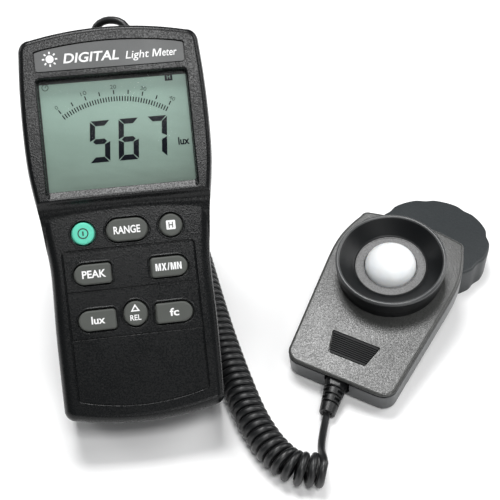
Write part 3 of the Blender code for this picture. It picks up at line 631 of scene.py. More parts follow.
def lead_path():
    """The whole centre line, from the meter's gland to the head's strain relief."""
    coil = coil_points()
    start = [METER @ (Vector(p) * MM) / MM for p in LEAD_ROUTE] + [Vector(p) - ORIGIN for p in HANG_ROUTE]
    head_side = [Vector(p) - ORIGIN for p in TAIL_ROUTE]
    hang = catmull_rom(start + coil[:3], SPAN_STEPS)[:-2 * SPAN_STEPS - 1]
    tail = catmull_rom(coil[-3:] + head_side, SPAN_STEPS)[2 * SPAN_STEPS + 1:]
    return evenly(hang, HANG_POINTS) + coil[1:] + evenly(tail, TAIL_POINTS)


def tube(path, radius, sides):
    """A round tube along the path, whose rings don't twist, with closed ends."""
    bm = bmesh.new()
    rings = []
    normal = None
    for i, point in enumerate(path):
        tangent = (path[min(i + 1, len(path) - 1)] - path[max(i - 1, 0)]).normalized()
        if normal is None:
            normal = tangent.orthogonal()
        normal = (normal - tangent * normal.dot(tangent)).normalized()
        across = tangent.cross(normal)
        ring = []
        for side in range(sides):
            angle = 2 * math.pi * side / sides
            ring.append(bm.verts.new(point + (normal * math.cos(angle) + across * math.sin(angle)) * radius))
        rings.append(ring)
    for low, high in zip(rings, rings[1:]):
        for i in range(sides):
            j = (i + 1) % sides
            bm.faces.new((low[i], low[j], high[j], high[i]))
    bm.faces.new(rings[0][::-1])
    bm.faces.new(rings[-1])
    return bm


def make_lead():
    path = lead_path()
    bm = tube(path, WIRE_R, TUBE_SIDES)
    bmesh.ops.scale(bm, verts=bm.verts, vec=(MM, MM, MM))
    mesh = bpy.data.meshes.new("coiled_lead")
    bm.to_mesh(mesh)
    bm.free()
    mesh.shade_smooth()
    lead = bpy.data.objects.new("coiled_lead", mesh)
    bpy.context.scene.collection.objects.link(lead)
    mesh.materials.append(VINYL)
    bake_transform(lead)
    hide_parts("lead_meter_end", "lead_coil", "lead_sensor_end")


# ---------------------------------------------------------------- materials
CASE = grained("case_plastic", (0.0045, 0.0050, 0.0053), 0.28, 0.60, 0.06, 0.80, 0.25, sparkle=0.12)
REAR = grained("rear_plastic", (0.010, 0.0105, 0.011), 0.42, 0.75, 0.08, 0.60, 0.35, sparkle=0.08)
HEAD_COVER = grained("head_grey", (0.048, 0.049, 0.047), 0.33, 0.65, 0.07, 0.60, 0.50, sparkle=0.10)
HEAD_DARK = grained("head_dark", (0.055, 0.058, 0.060), 0.38, 0.35, 0.02, 0.15)
# Lighter grey for the collar's lip: a painted highlight of the light that the rounded lip catches.
LIP_HIGHLIGHT = grained("collar_lip_highlight", (0.040, 0.042, 0.043), 0.34, 0.40, 0.01, 0.15, 0.6)
COLLAR = grained("collar_black", (0.0030, 0.0036, 0.0042), 0.38, 0.40, 0.012, 0.15, 0.28)
WASHER = grained("washer_grey", (0.135, 0.135, 0.135), 0.50, 0.70, 0.07, 0.35)
COVER = grained("cover_plastic", (0.020, 0.024, 0.026), 0.46, 0.60, 0.04, 0.30)
KEY = rubbery("button_rubber", (0.058, 0.063, 0.056), 0.58)
POWER = rubbery("power_rubber", (0.090, 0.560, 0.400), 0.50)
VINYL = rubbery("lead_vinyl", (0.0065, 0.0070, 0.0075), 0.38, 0.03)
INK_WHITE = grained("ink_white", (0.80, 0.80, 0.80), 0.50, 0.20, 0.004, 0.03)
INK_DARK = grained("ink_dark", (0.010, 0.030, 0.022), 0.50, 0.20, 0.004, 0.05)
SEGMENT = grained("segment_black", (0.003, 0.004, 0.008), 0.80, 0.30, 0.0, 0.05, 0.1)
SEGMENT_FAINT = grained("segment_faint", (0.07, 0.10, 0.085), 0.80, 0.30, 0.0, 0.05, 0.1)
LABEL = grained("label_film", (0.080, 0.083, 0.083), 0.45, 0.30, 0.01, 0.10)
MASK = grained("display_mask", (0.006, 0.006, 0.006), 0.60, 0.40, 0.01, 0.10)
PAD = grained("display_pad", (0.045, 0.047, 0.05), 0.40, 0.40, 0.01, 0.10)
GRIP = grained("grip_black", (0.006, 0.0065, 0.007), 0.55, 0.40, 0.01, 0.10, 0.22)
HOLDER = grained("white_plastic", (0.62, 0.62, 0.60), 0.50, 0.50, 0.01, 0.05)
BOARD = grained("circuit_board", (0.020, 0.16, 0.06), 0.35, 2.50, 0.04, 0.30)
MAT = rubbery("mat_rubber", (0.25, 0.26, 0.25), 0.70)
SLEEVE = grained("battery_sleeve", (0.030, 0.035, 0.060), 0.30, 1.20, 0.01, 0.15)
CLIP = rubbery("clip_vinyl", (0.012, 0.012, 0.012), 0.55)
FILTER = grained("filter_glass", (0.20, 0.42, 0.26), 0.10, 3.00, 0.0, 0.08, 0.6)
SILICON = grained("silicon", (0.020, 0.022, 0.050), 0.18, 1.20, 0.0, 0.15, 0.7)


def brushed_steel():
    """Turned steel: fine streaks and slight staining."""
    r = Recipe("screw_steel", (0.50, 0.50, 0.51), 0.30, 1.0)
    streaks = r.noise(0.5, 3.0, 0.6, (1.0, 8.0, 1.0))
    stains = r.noise(2.5, 4.0, 0.6)
    r.drive("Base Color", r.mix(r.remap(stains, 0.35, 0.75), (0.52, 0.52, 0.53), (0.36, 0.35, 0.33)))
    r.drive("Roughness", r.remap(streaks, 0.3, 0.7, 0.24, 0.42))
    r.drive("Normal", r.bump(streaks, 0.01))
    return r.material


def opal():
    """Milky translucent plastic."""
    r = Recipe("dome_opal", (0.87, 0.885, 0.885), 0.32)
    clouds = r.noise(4.0, 3.0, 0.5)
    r.drive("Base Color", r.mix(r.remap(clouds, 0.3, 0.7), (0.85, 0.870, 0.870), (0.88, 0.895, 0.895)))
    r.drive("Normal", r.bump(r.noise(0.6, 2.0, 0.5), 0.002))
    r.set("Subsurface Weight", 0.6)
    r.set("Subsurface Radius", (1.0, 0.9, 0.8))
    r.set("Subsurface Scale", 0.003)
    return r.material


def display_glass():
    """The display's face: grey-green, lighter towards its top with a painted sheen, and with the film's faint
    streaks.
    """
    r = Recipe("lcd_glass", (0.22, 0.32, 0.26), 0.32)
    split = r.node("SeparateXYZ")
    r.link(r.place, split.inputs["Vector"])
    # Painted sheen: the colour runs from darker at the display's foot to lighter at its top, standing in for
    # the light it reflects.
    low, high = [(METER @ (Vector((0, y, LCD_TOP)) * MM)).z for y in LCD_Y]
    up = r.remap(split.outputs["Z"], low, high)
    base = r.mix(up, (0.142, 0.185, 0.157), (0.300, 0.425, 0.363))
    streaks = r.noise(16.0, 4.0, 0.65, (0.25, 1.3, 0.6))
    specks = r.noise(0.5, 2.0, 0.6)
    veiled = r.mix(r.remap(streaks, 0.40, 0.72, 0.0, 0.22), base, (0.40, 0.52, 0.46))
    r.drive("Base Color", r.mix(r.remap(specks, 0.4, 0.8, 0.0, 0.08), veiled, (0.10, 0.13, 0.11)))
    r.drive("Roughness", r.remap(streaks, 0.3, 0.7, 0.30, 0.38))
    r.set("Specular IOR Level", 0.2)
    return r.material


def clear_acrylic():
    """A clear pane: what is behind it shows through a thin gloss with faint smears."""
    r = Recipe("window_acrylic", (0.02, 0.02, 0.02), 0.06)
    smears = r.noise(14.0, 4.0, 0.6, (1.0, 0.4, 1.0))
    clear = r.node("BsdfTransparent")
    clear.inputs["Color"].default_value = (0.96, 0.975, 0.97, 1.0)
    both = r.node("MixShader")
    r.drive("Roughness", r.remap(smears, 0.3, 0.7, 0.05, 0.12))
    r.link(r.remap(smears, 0.3, 0.8, 0.015, 0.04), both.inputs["Fac"])
    r.link(clear.outputs["BSDF"], both.inputs[1])
    r.link(r.shader.outputs["BSDF"], both.inputs[2])
    r.link(both.outputs["Shader"], r.tree.nodes["Material Output"].inputs["Surface"])
    return r.material


STEEL = brushed_steel()
OPAL = opal()


# ---------------------------------------------------------------- meter: case
BODY_SIDES = [(6.2, 30.5), (20, 30.7), (36, 30.8), (52, 30.5), (60, 30.6), (68, 31.4), (78, 32.5),
              (87, 34.0), (98, 35.3), (112, 35.7), (128, 35.4), (141, 34.6)]
BODY_END_LOW = (-1.3, 2.9, 26.0)
BODY_END_HIGH = (149.9, 3.3, 30.0)
CORNER_SHRINK = 0.45
WALL = 2.2
FACE_Z = 35.3
KEYPAD_Z = 31.8
PARTING_Z = 21.0
FRONT_EDGE = [(21.3, 0.35), (21.55, 0.08), (21.9, 0.0), (29.5, 0.3), (32.4, 0.6), (33.8, 0.9),
              (34.5, 1.25), (34.95, 1.7), (35.2, 2.25), (FACE_Z, 2.9)]
LOWER_EDGE = [(20.0, -0.3), (27.5, 0.1), (29.0, 0.45), (30.1, 0.95), (30.9, 1.6), (31.45, 2.4),
              (31.72, 3.2), (KEYPAD_Z, 4.2)]
REAR_EDGE = [(0.0, 3.4), (0.15, 2.5), (0.6, 1.6), (1.2, 1.0), (1.9, 0.55), (2.7, 0.2), (3.6, 0.0),
             (20.4, 0.0), (20.75, 0.08), (PARTING_Z, 0.35)]
WINDOW_X = 28.1
WINDOW_Y = (87.9, 130.7)
WINDOW_CORNER = 1.7
# How far the window opening widens at its sides, its foot and its top, and the height where it does.
WINDOW_EDGE = [(0.0, 0.0, 0.0, 28.0), (0.0, 0.0, 0.0, 33.7), (0.08, 2.25, 0.04, 34.85),
               (0.35, 2.5, 0.2, 35.15), (0.8, 2.9, 0.6, 35.35), (0.8, 2.9, 0.6, 36.5)]
LABEL_X = 27.9
LABEL_Y = (133.4, 140.8)
LABEL_ARCH = 2.6
LABEL_TOP = 35.0
WALL_FOOT_Y = 79.9
WALL_FOOT_SAG = 2.6
WALL_TOP_Y = 84.3
# The hollow wall between keypad and display, as shares of its run and of its rise.
WALL_PROFILE = [(-2.2, -1.3), (-1.25, -0.75), (-0.6, -0.36), (-0.2, -0.1), (0.0, 0.0), (0.22, 0.02),
                (0.42, 0.09), (0.58, 0.19), (0.72, 0.34), (0.83, 0.53), (0.91, 0.74), (0.97, 0.9),
                (1.05, 0.98), (1.16, 1.01), (1.2, 1.4)]
# The block that the wall is cut with: half width, lower end, and where the wall's sag is counted to.
WALL_BLOCK = (45, -10)
WALL_SAG_X = 30.5
WALL_SAG_TO = 34.0
# The keys: middle, kind, width and height.
BUTTONS = {
    "power_button": (-16.6, 71.8, "round", 8.4, 8.4),
    "range_button": (-0.2, 71.8, "round", 15.4, 8.5),
    "hold_button": (16.4, 71.9, "round", 8.5, 8.5),
    "peak_button": (-14.6, 56.3, "left_d", 13.7, 7.6),
    "max_min_button": (14.2, 56.3, "right_d", 13.7, 7.6),
    "lux_button": (-14.5, 38.9, "left_d", 13.7, 7.6),
    "relative_button": (-0.1, 40.0, "round", 8.7, 9.3),
    "foot_candle_button": (14.4, 38.9, "right_d", 13.7, 7.6),
}
# Groove panel: left and right x at its top and bottom, the lines across it and its curved lower line.
PANEL_LEFT = (-25.2, -24.3)
PANEL_RIGHT = (24.45, 24.65)
PANEL_TOP_Y = 65.45
PANEL_LINES = (49.85, 32.0)
PANEL_BOTTOM_Y = 9.2
PANEL_SAG = 3.5
GROOVE = [(-0.52, 0.25), (-0.42, 0.0), (-0.24, -0.34), (0.0, -0.42), (0.24, -0.34), (0.42, 0.0), (0.52, 0.25)]
GROOVE_CORNER = 1.3
# The corners at the groove's foot, and how far the lines across stay off its sides, on the right and left.
GROOVE_FOOT = 0.9
LINE_ENDS = (0.1, 0.6)
# The square corners of a D-shaped key, and the least they become where the outline is drawn in.
SQUARE_CORNER = 1.1
LEAST_CORNER = 0.2
SCREW_SPOTS = [(-26.3, 141.0), (26.3, 141.0), (-24.6, 8.6), (24.6, 8.6)]
# The raised ring round each key, and the hole in it: how far a step stands off the key, and its height.
KEY_RIM = [(1.3, 31.4), (1.28, 31.82), (1.15, 31.95), (0.98, 32.0), (0.2, 32.0)]
KEY_HOLE = [(0.5, 28.0), (0.5, 31.75), (0.56, 31.88), (0.7, 31.98), (0.9, 32.08), (1.2, 33.0)]
# The label's recess: how far a step stands off the label, and its height.
LABEL_RECESS = [(GAP, 34.3), (GAP, 35.15), (GAP + 0.15, 35.32), (GAP + 0.15, 36.5)]
FRONT_HOLLOW_Z = (10, 29.6)
# The pocket for the display: half width, lower and upper end, and its heights.
POCKET = (29.6, 85.0, 132.8)
POCKET_Z = (15, 30.9)


def body_outline(inward=0.0):
    """The meter's outline, moved inwards; its corners keep some roundness."""
    sides = [(y, x - inward) for y, x in BODY_SIDES]
    low_y, low_sag, low_x = BODY_END_LOW
    high_y, high_sag, high_x = BODY_END_HIGH
    shrink = inward * CORNER_SHRINK
    return mirrored(half_outline(sides, (low_y + inward, low_sag, low_x - shrink),
                                 (high_y - inward, high_sag, high_x - shrink)))


def body_rings(edge):
    return [(body_outline(distance), height) for height, distance in edge]


def button_outline(kind, width, height, grow=0.0, steps=10):
    """A key's outline about its own centre: fully round ends, or a D with square corners on one side."""
    half_x = width / 2 + grow
    half_y = height / 2 + grow
    round_r = min(half_x, half_y) - 0.01
    square_r = max(LEAST_CORNER, SQUARE_CORNER + grow)
    left_r = square_r if kind == "right_d" else round_r
    right_r = square_r if kind == "left_d" else round_r
    outline = []
    for sign_x, sign_y, start in ((1, -1, -90), (1, 1, 0), (-1, 1, 90), (-1, -1, 180)):
        radius = right_r if sign_x > 0 else left_r
        centre = (sign_x * (half_x - radius), sign_y * (half_y - radius))
        outline += arc(*centre, radius, start, start + 90, steps)
    return outline


def key_shape(x, y, kind, width, height, edge):
    """A key, or what surrounds it: the edge says how far each step stands off the key, and its height."""
    return loft([(placed(button_outline(kind, width, height, grow), x, y), z) for grow, z in edge])


def label_outline(grow, steps=24, corner=0.9):
    """The label's outline: straight sides and lower edge with round corners, and an arch on top."""
    half_x = LABEL_X + grow
    low, high = LABEL_Y[0] - grow, LABEL_Y[1] + grow
    points = rectangle(half_x, low, high, corner + max(grow, 0.0), 4)
    lower_right = points[:5]
    lower_left = points[-5:]
    top = []
    for step in range(1, steps):
        x = (half_x - 0.7) * (1 - 2 * step / steps)
        top.append((x, high + LABEL_ARCH * (1 - (x / half_x) ** 2)))
    sides = [(half_x, high - 0.8), (half_x - 0.25, high - 0.15)]
    return lower_right + sides + top + [(-x, y) for x, y in sides[::-1]] + lower_left


def hollow_wall_cutter():
    """What is cut away above the keypad: a block whose upper end is the hollow wall."""
    steps = 32
    rings = []
    block_x, block_y = WALL_BLOCK
    for run, rise in WALL_PROFILE:
        outline = [(-block_x, block_y), (block_x, block_y)]
        for step in range(steps + 1):
            x = block_x * (1 - 2 * step / steps)
            foot = WALL_FOOT_Y - WALL_FOOT_SAG * (min(abs(x), WALL_SAG_TO) / WALL_SAG_X) ** 2
            outline.append((x, foot + (WALL_TOP_Y - foot) * run))
        rings.append((outline, KEYPAD_Z + (FACE_Z - KEYPAD_Z) * rise))
    return loft(rings)


def groove_loop():
    """The closed line of the panel's outer groove."""
    left_top, left_low = PANEL_LEFT
    right_top, right_low = PANEL_RIGHT
    corner_y = PANEL_TOP_Y - GROOVE_CORNER
    side_length = PANEL_TOP_Y - PANEL_BOTTOM_Y - 2 * GROOVE_CORNER
    shares = [step / 8 for step in range(1, 8)]
    points = arc(right_top - GROOVE_CORNER, corner_y, GROOVE_CORNER, 0, 90, 6)
    points += arc(left_top + GROOVE_CORNER, corner_y, GROOVE_CORNER, 90, 180, 6)
    points += [(left_top + (left_low - left_top) * share, corner_y - side_length * share) for share in shares]
    points += [(left_low, PANEL_BOTTOM_Y + GROOVE_FOOT), (left_low + 0.3, PANEL_BOTTOM_Y + 0.2)]
    middle = (left_low + right_low) / 2
    half = (right_low - left_low) / 2
    low_steps = 24
    for step in range(low_steps + 1):
        x = left_low + GROOVE_FOOT + (right_low - left_low - 2 * GROOVE_FOOT) * (step / low_steps)
        points.append((x, PANEL_BOTTOM_Y - PANEL_SAG * (1 - ((x - middle) / half) ** 2)))
    points += [(right_low - 0.3, PANEL_BOTTOM_Y + 0.2), (right_low, PANEL_BOTTOM_Y + GROOVE_FOOT)]
    points += [(right_top + (right_low - right_top) * share, corner_y - side_length * share)
               for share in shares[::-1]]
    return points


def make_front_case():
    block = carved(hollow_wall_cutter(), [loft(body_rings(LOWER_EDGE))])
    rims = [key_shape(*key, KEY_RIM) for key in BUTTONS.values()]
    holes = [key_shape(*key, KEY_HOLE) for key in BUTTONS.values()]
    hollow = prism(body_outline(WALL), *FRONT_HOLLOW_Z)
    pocket = prism(rectangle(*POCKET), *POCKET_Z)
    window = loft([(rectangle(WINDOW_X + side, WINDOW_Y[0] - low, WINDOW_Y[1] + high, WINDOW_CORNER), z)
                   for side, low, high, z in WINDOW_EDGE])
    label = loft([(label_outline(grow), z) for grow, z in LABEL_RECESS])
    section = [(across, KEYPAD_Z + height) for across, height in GROOVE]
    grooves = [swept(groove_loop(), section)]
    right_x, left_x = PANEL_RIGHT[0] - LINE_ENDS[0], PANEL_LEFT[0] + LINE_ENDS[1]
    for y in PANEL_LINES:
        grooves.append(swept([(right_x, y), (left_x, y)], section, closed=False))
    cuts = [block, ("UNION", merged(rims)), hollow, pocket, window, label, merged(holes)] + grooves
    case = carved(loft(body_rings(FRONT_EDGE)), cuts)
    piece("front_case_body", case, METER, "meter", CASE, ["front_case"], 34, True)


# ---------------------------------------------------------------- meter: keys and their legends
KEY_TOP = 32.8
# How far a step stands off the key's outline, and its height.
KEY_EDGE = [(0.8, 28.5), (0.8, 29.2), (0.0, 29.25), (0.0, 32.15), (-0.06, 32.4), (-0.2, 32.62),
            (-0.42, 32.76), (-0.7, KEY_TOP), (-1.0, KEY_TOP - 0.03)]
LEGEND_LEVEL = KEY_TOP - 0.04
LEGEND_CAPITAL = 2.75
# Words about their keys' centres: the text, its left and right end, its foot, capital height and boldness.
KEY_WORDS = {
    "range_button": ("RANGE", -5.0, 5.0, -1.4, LEGEND_CAPITAL, 0.22),
    "hold_button": ("H", -0.85, 0.85, -1.05, 2.1, 0.25),
    "peak_button": ("PEAK", -3.9, 5.0, -1.35, LEGEND_CAPITAL, 0.22),
    "lux_button": ("lux", -2.2, 2.9, -1.25, LEGEND_CAPITAL, 0.22),
    "relative_button": ("REL", -2.15, 1.95, -2.55, 2.0, 0.16),
    "foot_candle_button": ("fc", -1.75, 1.75, -1.25, LEGEND_CAPITAL, 0.22),
}
MAX_MIN_FROM = (-5.2, -1.35)
# The power sign's ring and stroke, the hold sign's box, and the difference sign's outer and inner edge.
POWER_RING = (2.05, 1.6)
POWER_STROKE = rectangle(0.27, -0.85, 0.85, 0.1)
HOLD_BOX = rectangle(1.75, -1.75, 1.75, 0.35)
DELTA_OUTER = [(-1.75, 0.75), (1.75, 0.75), (0.0, 3.55)]
DELTA_INNER = [(-0.85, 1.22), (0.85, 1.22), (0.0, 2.62)]
SIGN_THICK = 0.06
# A cutter for a sign starts this far under it and is this thick.
CUT_UNDER = 0.2
CUT_THICK = 0.5


def make_keys():
    for name, key in BUTTONS.items():
        power = name == "power_button"
        piece(name + "_cap", key_shape(*key, KEY_EDGE), METER, name,
              POWER if power else KEY, [name], 40, True)
        legend = key_legend(name, key[0], key[1])
        piece(name + "_legend", legend, METER, name, INK_DARK if power else INK_WHITE)


def key_legend(name, x, y):
    """A key's printed sign or word, as one bmesh."""
    level = LEGEND_LEVEL
    if name == "power_button":
        return merged([ring_plate(x, y, *POWER_RING, level), plate(placed(POWER_STROKE, x, y), level)])
    if name == "max_min_button":
        left, foot = MAX_MIN_FROM
        return bold_line("MX/MN", x + left, y + foot, LEGEND_CAPITAL, level)
    text, left, right, foot, height, bold = KEY_WORDS[name]
    ends = (x + left, x + right, y + foot, height)
    if name == "hold_button":
        letter = lettering(text, *ends, level - CUT_UNDER, bold, 0.0, CUT_THICK)
        return carved(plate(placed(HOLD_BOX, x, y), level, SIGN_THICK), [letter])
    word = lettering(text, *ends, level, bold)
    if name == "relative_button":
        inner = plate(placed(DELTA_INNER, x, y), level - CUT_UNDER, CUT_THICK)
        return merged([carved(plate(placed(DELTA_OUTER, x, y), level, SIGN_THICK), [inner]), word])
    return word


# ---------------------------------------------------------------- meter: display
LCD_TOP = 30.5
LCD_X = (-27.65, 27.9)
LCD_Y = (88.35, 129.4)
INK_LEVEL = 30.53
DIAL_CENTRE_Y = 84.6
DIAL_SPAN = 31.5
DIAL_COUNT = 41
TICK = (36.45, 38.3)
MARK = (39.15, 40.75)
NUMBER_R = 42.0
DIGITS = {"5": "afgcd", "6": "afgedc", "7": "abc"}
DIGIT_LEFT = (-10.75, 0.1, 10.9)
DIGIT_WIDTH = 7.65
DIGIT_LOW = 98.25
DIGIT_HIGH = 114.1
DIGIT_LEAN = 0.09
STROKE = 2.0
STROKE_GAP = 0.16
# The dial: how thick its lines are, which ones have a mark and a number, and the numbers' half widths.
DIAL_LINE = 0.42
MARK_EVERY = 5
NUMBER_EVERY = 10
NUMBER_HEIGHT = 1.5
ONE_DIGIT_HALF = 0.55
TWO_DIGITS_HALF = 1.15
# The unit's word (ends, foot, capital height) and the signs in the display's upper corners.
UNIT_WORD = (22.55, 26.85, 102.4, 2.7)
HOLD_AT = (21.35, 128.7)
HOLD_HALF = 1.45
HOLD_LETTER = (20.7, 22.0, 127.9, 1.6)
CLOCK_AT = (-25.45, 128.3)
CLOCK_RING = (1.3, 1.02)
CLOCK_HAND = (-24.9, 129.0)
CLOCK_LINE = 0.25
# Half width, lower and upper end of the display's glass and of the dark frame on it, with their heights. The
# frame is the display's own black edge and also painted shadow, where the bezel's shadow falls below the
# window's top edge.
GLASS = (28.2, 86.6, 131.2)
GLASS_LOW = 28.2
FRAME = (29.0, 85.9, 131.9)
FRAME_Z = (30.52, 30.8)
# The row of contact pads over the display.
PAD_COUNT = 26
PAD_PITCH = 0.95
PAD_START = (3.0, 130.1)
PAD_HALF = (0.14, 0.2)
PAD_THICK = 0.03


def segment(kind, width, height):
    """One bar of a digit, about its own lower left corner, with mitred ends."""
    t, g = STROKE, STROKE_GAP
    middle = height / 2
    if kind == "a":
        return [(g * 2, height), (t + g, height - t), (width - t - g, height - t), (width - g * 2, height)]
    if kind == "d":
        return [(g * 2, 0), (width - g * 2, 0), (width - t - g, t), (t + g, t)]
    if kind == "g":
        h = t / 2
        return [(h + g, middle), (t + g, middle - h), (width - t - g, middle - h), (width - h - g, middle),
                (width - t - g, middle + h), (t + g, middle + h)]
    low = middle + g if kind in "bf" else g * 2
    high = height - g * 2 if kind in "bf" else middle - g
    if kind in "bf":
        inner = (middle + t / 2 + g, height - t - g)
    else:
        inner = (t + g, middle - t / 2 - g)
    side = [(0, low), (t, inner[0]), (t, inner[1]), (0, high)]
    if kind in "bc":
        side = [(width - x, y) for x, y in side][::-1]
    return side[::-1] if kind in "ef" else side


def make_digits():
    parts = []
    height = DIGIT_HIGH - DIGIT_LOW
    for left, digit in zip(DIGIT_LEFT, "567"):
        for kind in DIGITS[digit]:
            outline = []
            for x, y in segment(kind, DIGIT_WIDTH, height):
                outline.append((left + x + (y - height / 2) * DIGIT_LEAN, DIGIT_LOW + y))
            parts.append(plate(outline, INK_LEVEL))
    return parts


def polar(radius, degrees):
    angle = math.radians(degrees)
    return radius * math.sin(angle), DIAL_CENTRE_Y + radius * math.cos(angle)


def make_dial():
    """The dial's lines and its numbers, as two lists."""
    lines = []
    numbers = []
    for index in range(DIAL_COUNT):
        angle = -DIAL_SPAN + 2 * DIAL_SPAN * index / (DIAL_COUNT - 1)
        lines.append(bar(polar(TICK[0], angle), polar(TICK[1], angle), DIAL_LINE, INK_LEVEL))
        if index % MARK_EVERY == 0:
            lines.append(bar(polar(MARK[0], angle), polar(MARK[1], angle), DIAL_LINE, INK_LEVEL))
        if index % NUMBER_EVERY == 0:
            half = ONE_DIGIT_HALF if index == 0 else TWO_DIGITS_HALF
            number = lettering(str(index), -half, half, -NUMBER_HEIGHT / 2, NUMBER_HEIGHT, INK_LEVEL)
            numbers.append(moved(turned(number, "Z", -angle), (*polar(NUMBER_R, angle), 0)))
    return lines, numbers


def make_display():
    lines, numbers = make_dial()
    parts = make_digits() + lines
    parts.append(lettering("lux", *UNIT_WORD, INK_LEVEL, 0.3))
    hold = lettering("H", *HOLD_LETTER, INK_LEVEL - CUT_UNDER, 0.1, 0.0, CUT_THICK)
    box = placed(rectangle(HOLD_HALF, -HOLD_HALF, HOLD_HALF), *HOLD_AT)
    parts.append(carved(plate(box, INK_LEVEL), [hold]))
    numbers.append(ring_plate(*CLOCK_AT, *CLOCK_RING, INK_LEVEL))
    numbers.append(bar(CLOCK_AT, CLOCK_HAND, CLOCK_LINE, INK_LEVEL))
    piece("display_digits", merged(parts), METER, "meter", SEGMENT)
    piece("display_numbers", merged(numbers), METER, "meter", SEGMENT_FAINT)
    glass = prism(rectangle(*GLASS), GLASS_LOW, LCD_TOP)
    piece("lcd_panel_glass", glass, METER, "meter", display_glass(), ["lcd_panel"])
    low_x, high_x = LCD_X
    low_y, high_y = LCD_Y
    hole = prism([(low_x, low_y), (high_x, low_y), (high_x, high_y), (low_x, high_y)], 30, 32)
    # The dark frame: the display's black edge, which also serves as painted shadow of the bezel along the
    # window's top edge.
    piece("display_mask", carved(prism(rectangle(*FRAME), *FRAME_Z), [hole]), METER, "meter", MASK)
    pads = []
    half_x, half_y = PAD_HALF
    first_x, pad_y = PAD_START
    for index in range(PAD_COUNT):
        outline = placed(rectangle(half_x, -half_y, half_y), first_x + PAD_PITCH * index, pad_y)
        pads.append(plate(outline, FRAME_Z[1], PAD_THICK))
    piece("display_pads", merged(pads), METER, "meter", PAD)


# ---------------------------------------------------------------- meter: label
# How far each step stands off the label's outline, and its height.
LABEL_EDGE = [(0.0, 34.55), (0.0, 34.95), (-0.06, LABEL_TOP)]
PRINT_LEVEL = LABEL_TOP - 0.02
PRINT_SLANT = 0.2
# The foot and the capitals' height of the big word and of the small ones.
BIG_PRINT = (136.0, 3.5)
SMALL_PRINT = (135.9, 2.9)
SUN_AT = (-22.3, 137.9)
SUN_R = 1.5
SUN_RAYS = 8
SUN_RAY = (1.95, 2.85)
SUN_RAY_WIDTH = 0.6


def make_label():
    rings = [(label_outline(grow), z) for grow, z in LABEL_EDGE]
    piece("label_plate_film", loft(rings), METER, "meter", LABEL, ["label_plate"], 40, True)
    level = PRINT_LEVEL
    sun_x, sun_y = SUN_AT
    ink = [plate(arc(sun_x, sun_y, SUN_R, 0, 350, 35), level)]
    for ray in range(SUN_RAYS):
        angle = math.radians(360 / SUN_RAYS * ray)
        start, end = [(sun_x + r * math.cos(angle), sun_y + r * math.sin(angle)) for r in SUN_RAY]
        ink.append(bar(start, end, SUN_RAY_WIDTH, level))
    ink.append(lettering("DIGITAL", -17.4, 3.4, *BIG_PRINT, level, 0.2, PRINT_SLANT))
    ink.append(lettering("Light", 5.9, 14.8, *SMALL_PRINT, level, 0.05, PRINT_SLANT))
    ink.append(sheared(bold_line("M", 15.9, *SMALL_PRINT, level, 3.2), PRINT_SLANT, SMALL_PRINT[0]))
    ink.append(lettering("eter", 19.75, 25.3, *SMALL_PRINT, level, 0.08, PRINT_SLANT))
    piece("label_print", merged(ink), METER, "meter", INK_WHITE)


# ---------------------------------------------------------------- meter: back
STAND_HINGE_Y = 84.5
STAND_HINGE_Z = 2.4
STAND_HALF_WIDTH = 19.0
STAND_LEG = 3.2
STAND_FOOT_Y = 19.2
STAND_FOOT_BAR = 4.2
STAND_FACES = (0.3, 2.6)
STAND_CROSSBAR = 1.4
STAND_OPEN = 69.893
DOOR_X = 13.7
DOOR_Y = (26.8, 76.7)
DOOR_Z = (0.3, 2.1)
DOOR_RIBS = 5
DOOR_RIB = (6.0, 62.0, 63.0, 0.45)
DOOR_RIB_PITCH = 2.2
DOOR_RIB_DEPTH = 0.4
DOOR_ARROW = [(-2.6, 58.6), (0.0, 55.6), (2.6, 58.6)]
DOOR_ARROW_DEPTH = 0.3
# A cutter that comes from outside the back starts at this height.
OUTSIDE = -1
BACK_INSIDE_Z = (5.4, 30)
BATTERY_BAY = (14.6, 25.6, 81.4)
BATTERY_BAY_Z = (2.5, 30)
# The stand's recess: the room round the stand, where its parts end, and how deep they are.
STAND_ROOM = 0.4
LEG_ROOM_TOP_Y = 88.0
FOOT_ROOM_TOP_Y = 24.6
HINGE_ROOM_Y = (82.4, 88.4)
LEG_DEPTH = 3.0
FOOT_DEPTH = 2.9
HINGE_DEPTH = 4.3
FINGER_HOLLOW = (6.5, 15.2, 20.0, 2.0)
FINGER_DEPTH = 1.6
DOOR_DEPTH = 3.0
SCREW_WELL = [(0, OUTSIDE), (3.3, OUTSIDE), (3.1, 0.0), (2.8, 0.3), (2.8, 3.0), (1.6, 3.0), (1.6, 8), (0, 8)]
GLAND_HOLE = [(0, 140), (3.1, 140), (3.1, 156), (0, 156)]
PIN_BORE = [(0, -21.6), (1.4, -21.6), (1.4, 21.6), (0, 21.6)]
# The grip grooves over the stand: half width, ends, corner radius, spacing and depth.
BACK_GRIP_ROWS = 6
BACK_GRIP = (17.0, 94.0, 95.6, 0.75)
BACK_GRIP_PITCH = 4.2
BACK_GRIP_DEPTH = 0.7
# The stand's hinge bar, and the pins at both its ends as one thinner bar through it.
HINGE_BAR = [(0, -19.0), (1.3, -19.0), (1.5, -18.8), (1.5, 18.8), (1.3, 19.0), (0, 19.0)]
HINGE_PINS = [(0, -21.2), (0.9, -21.2), (1.1, -21.0), (1.1, 21.0), (0.9, 21.2), (0, 21.2)]
BUSH_PROFILE = [(0, 143.6), (4.3, 143.6), (4.3, 145.6), (2.9, 145.6), (2.9, 150.4), (2.75, 150.9),
                (2.45, 151.5), (2.1, 151.8), (1.75, 151.8), (1.65, 151.4), (0, 151.4)]


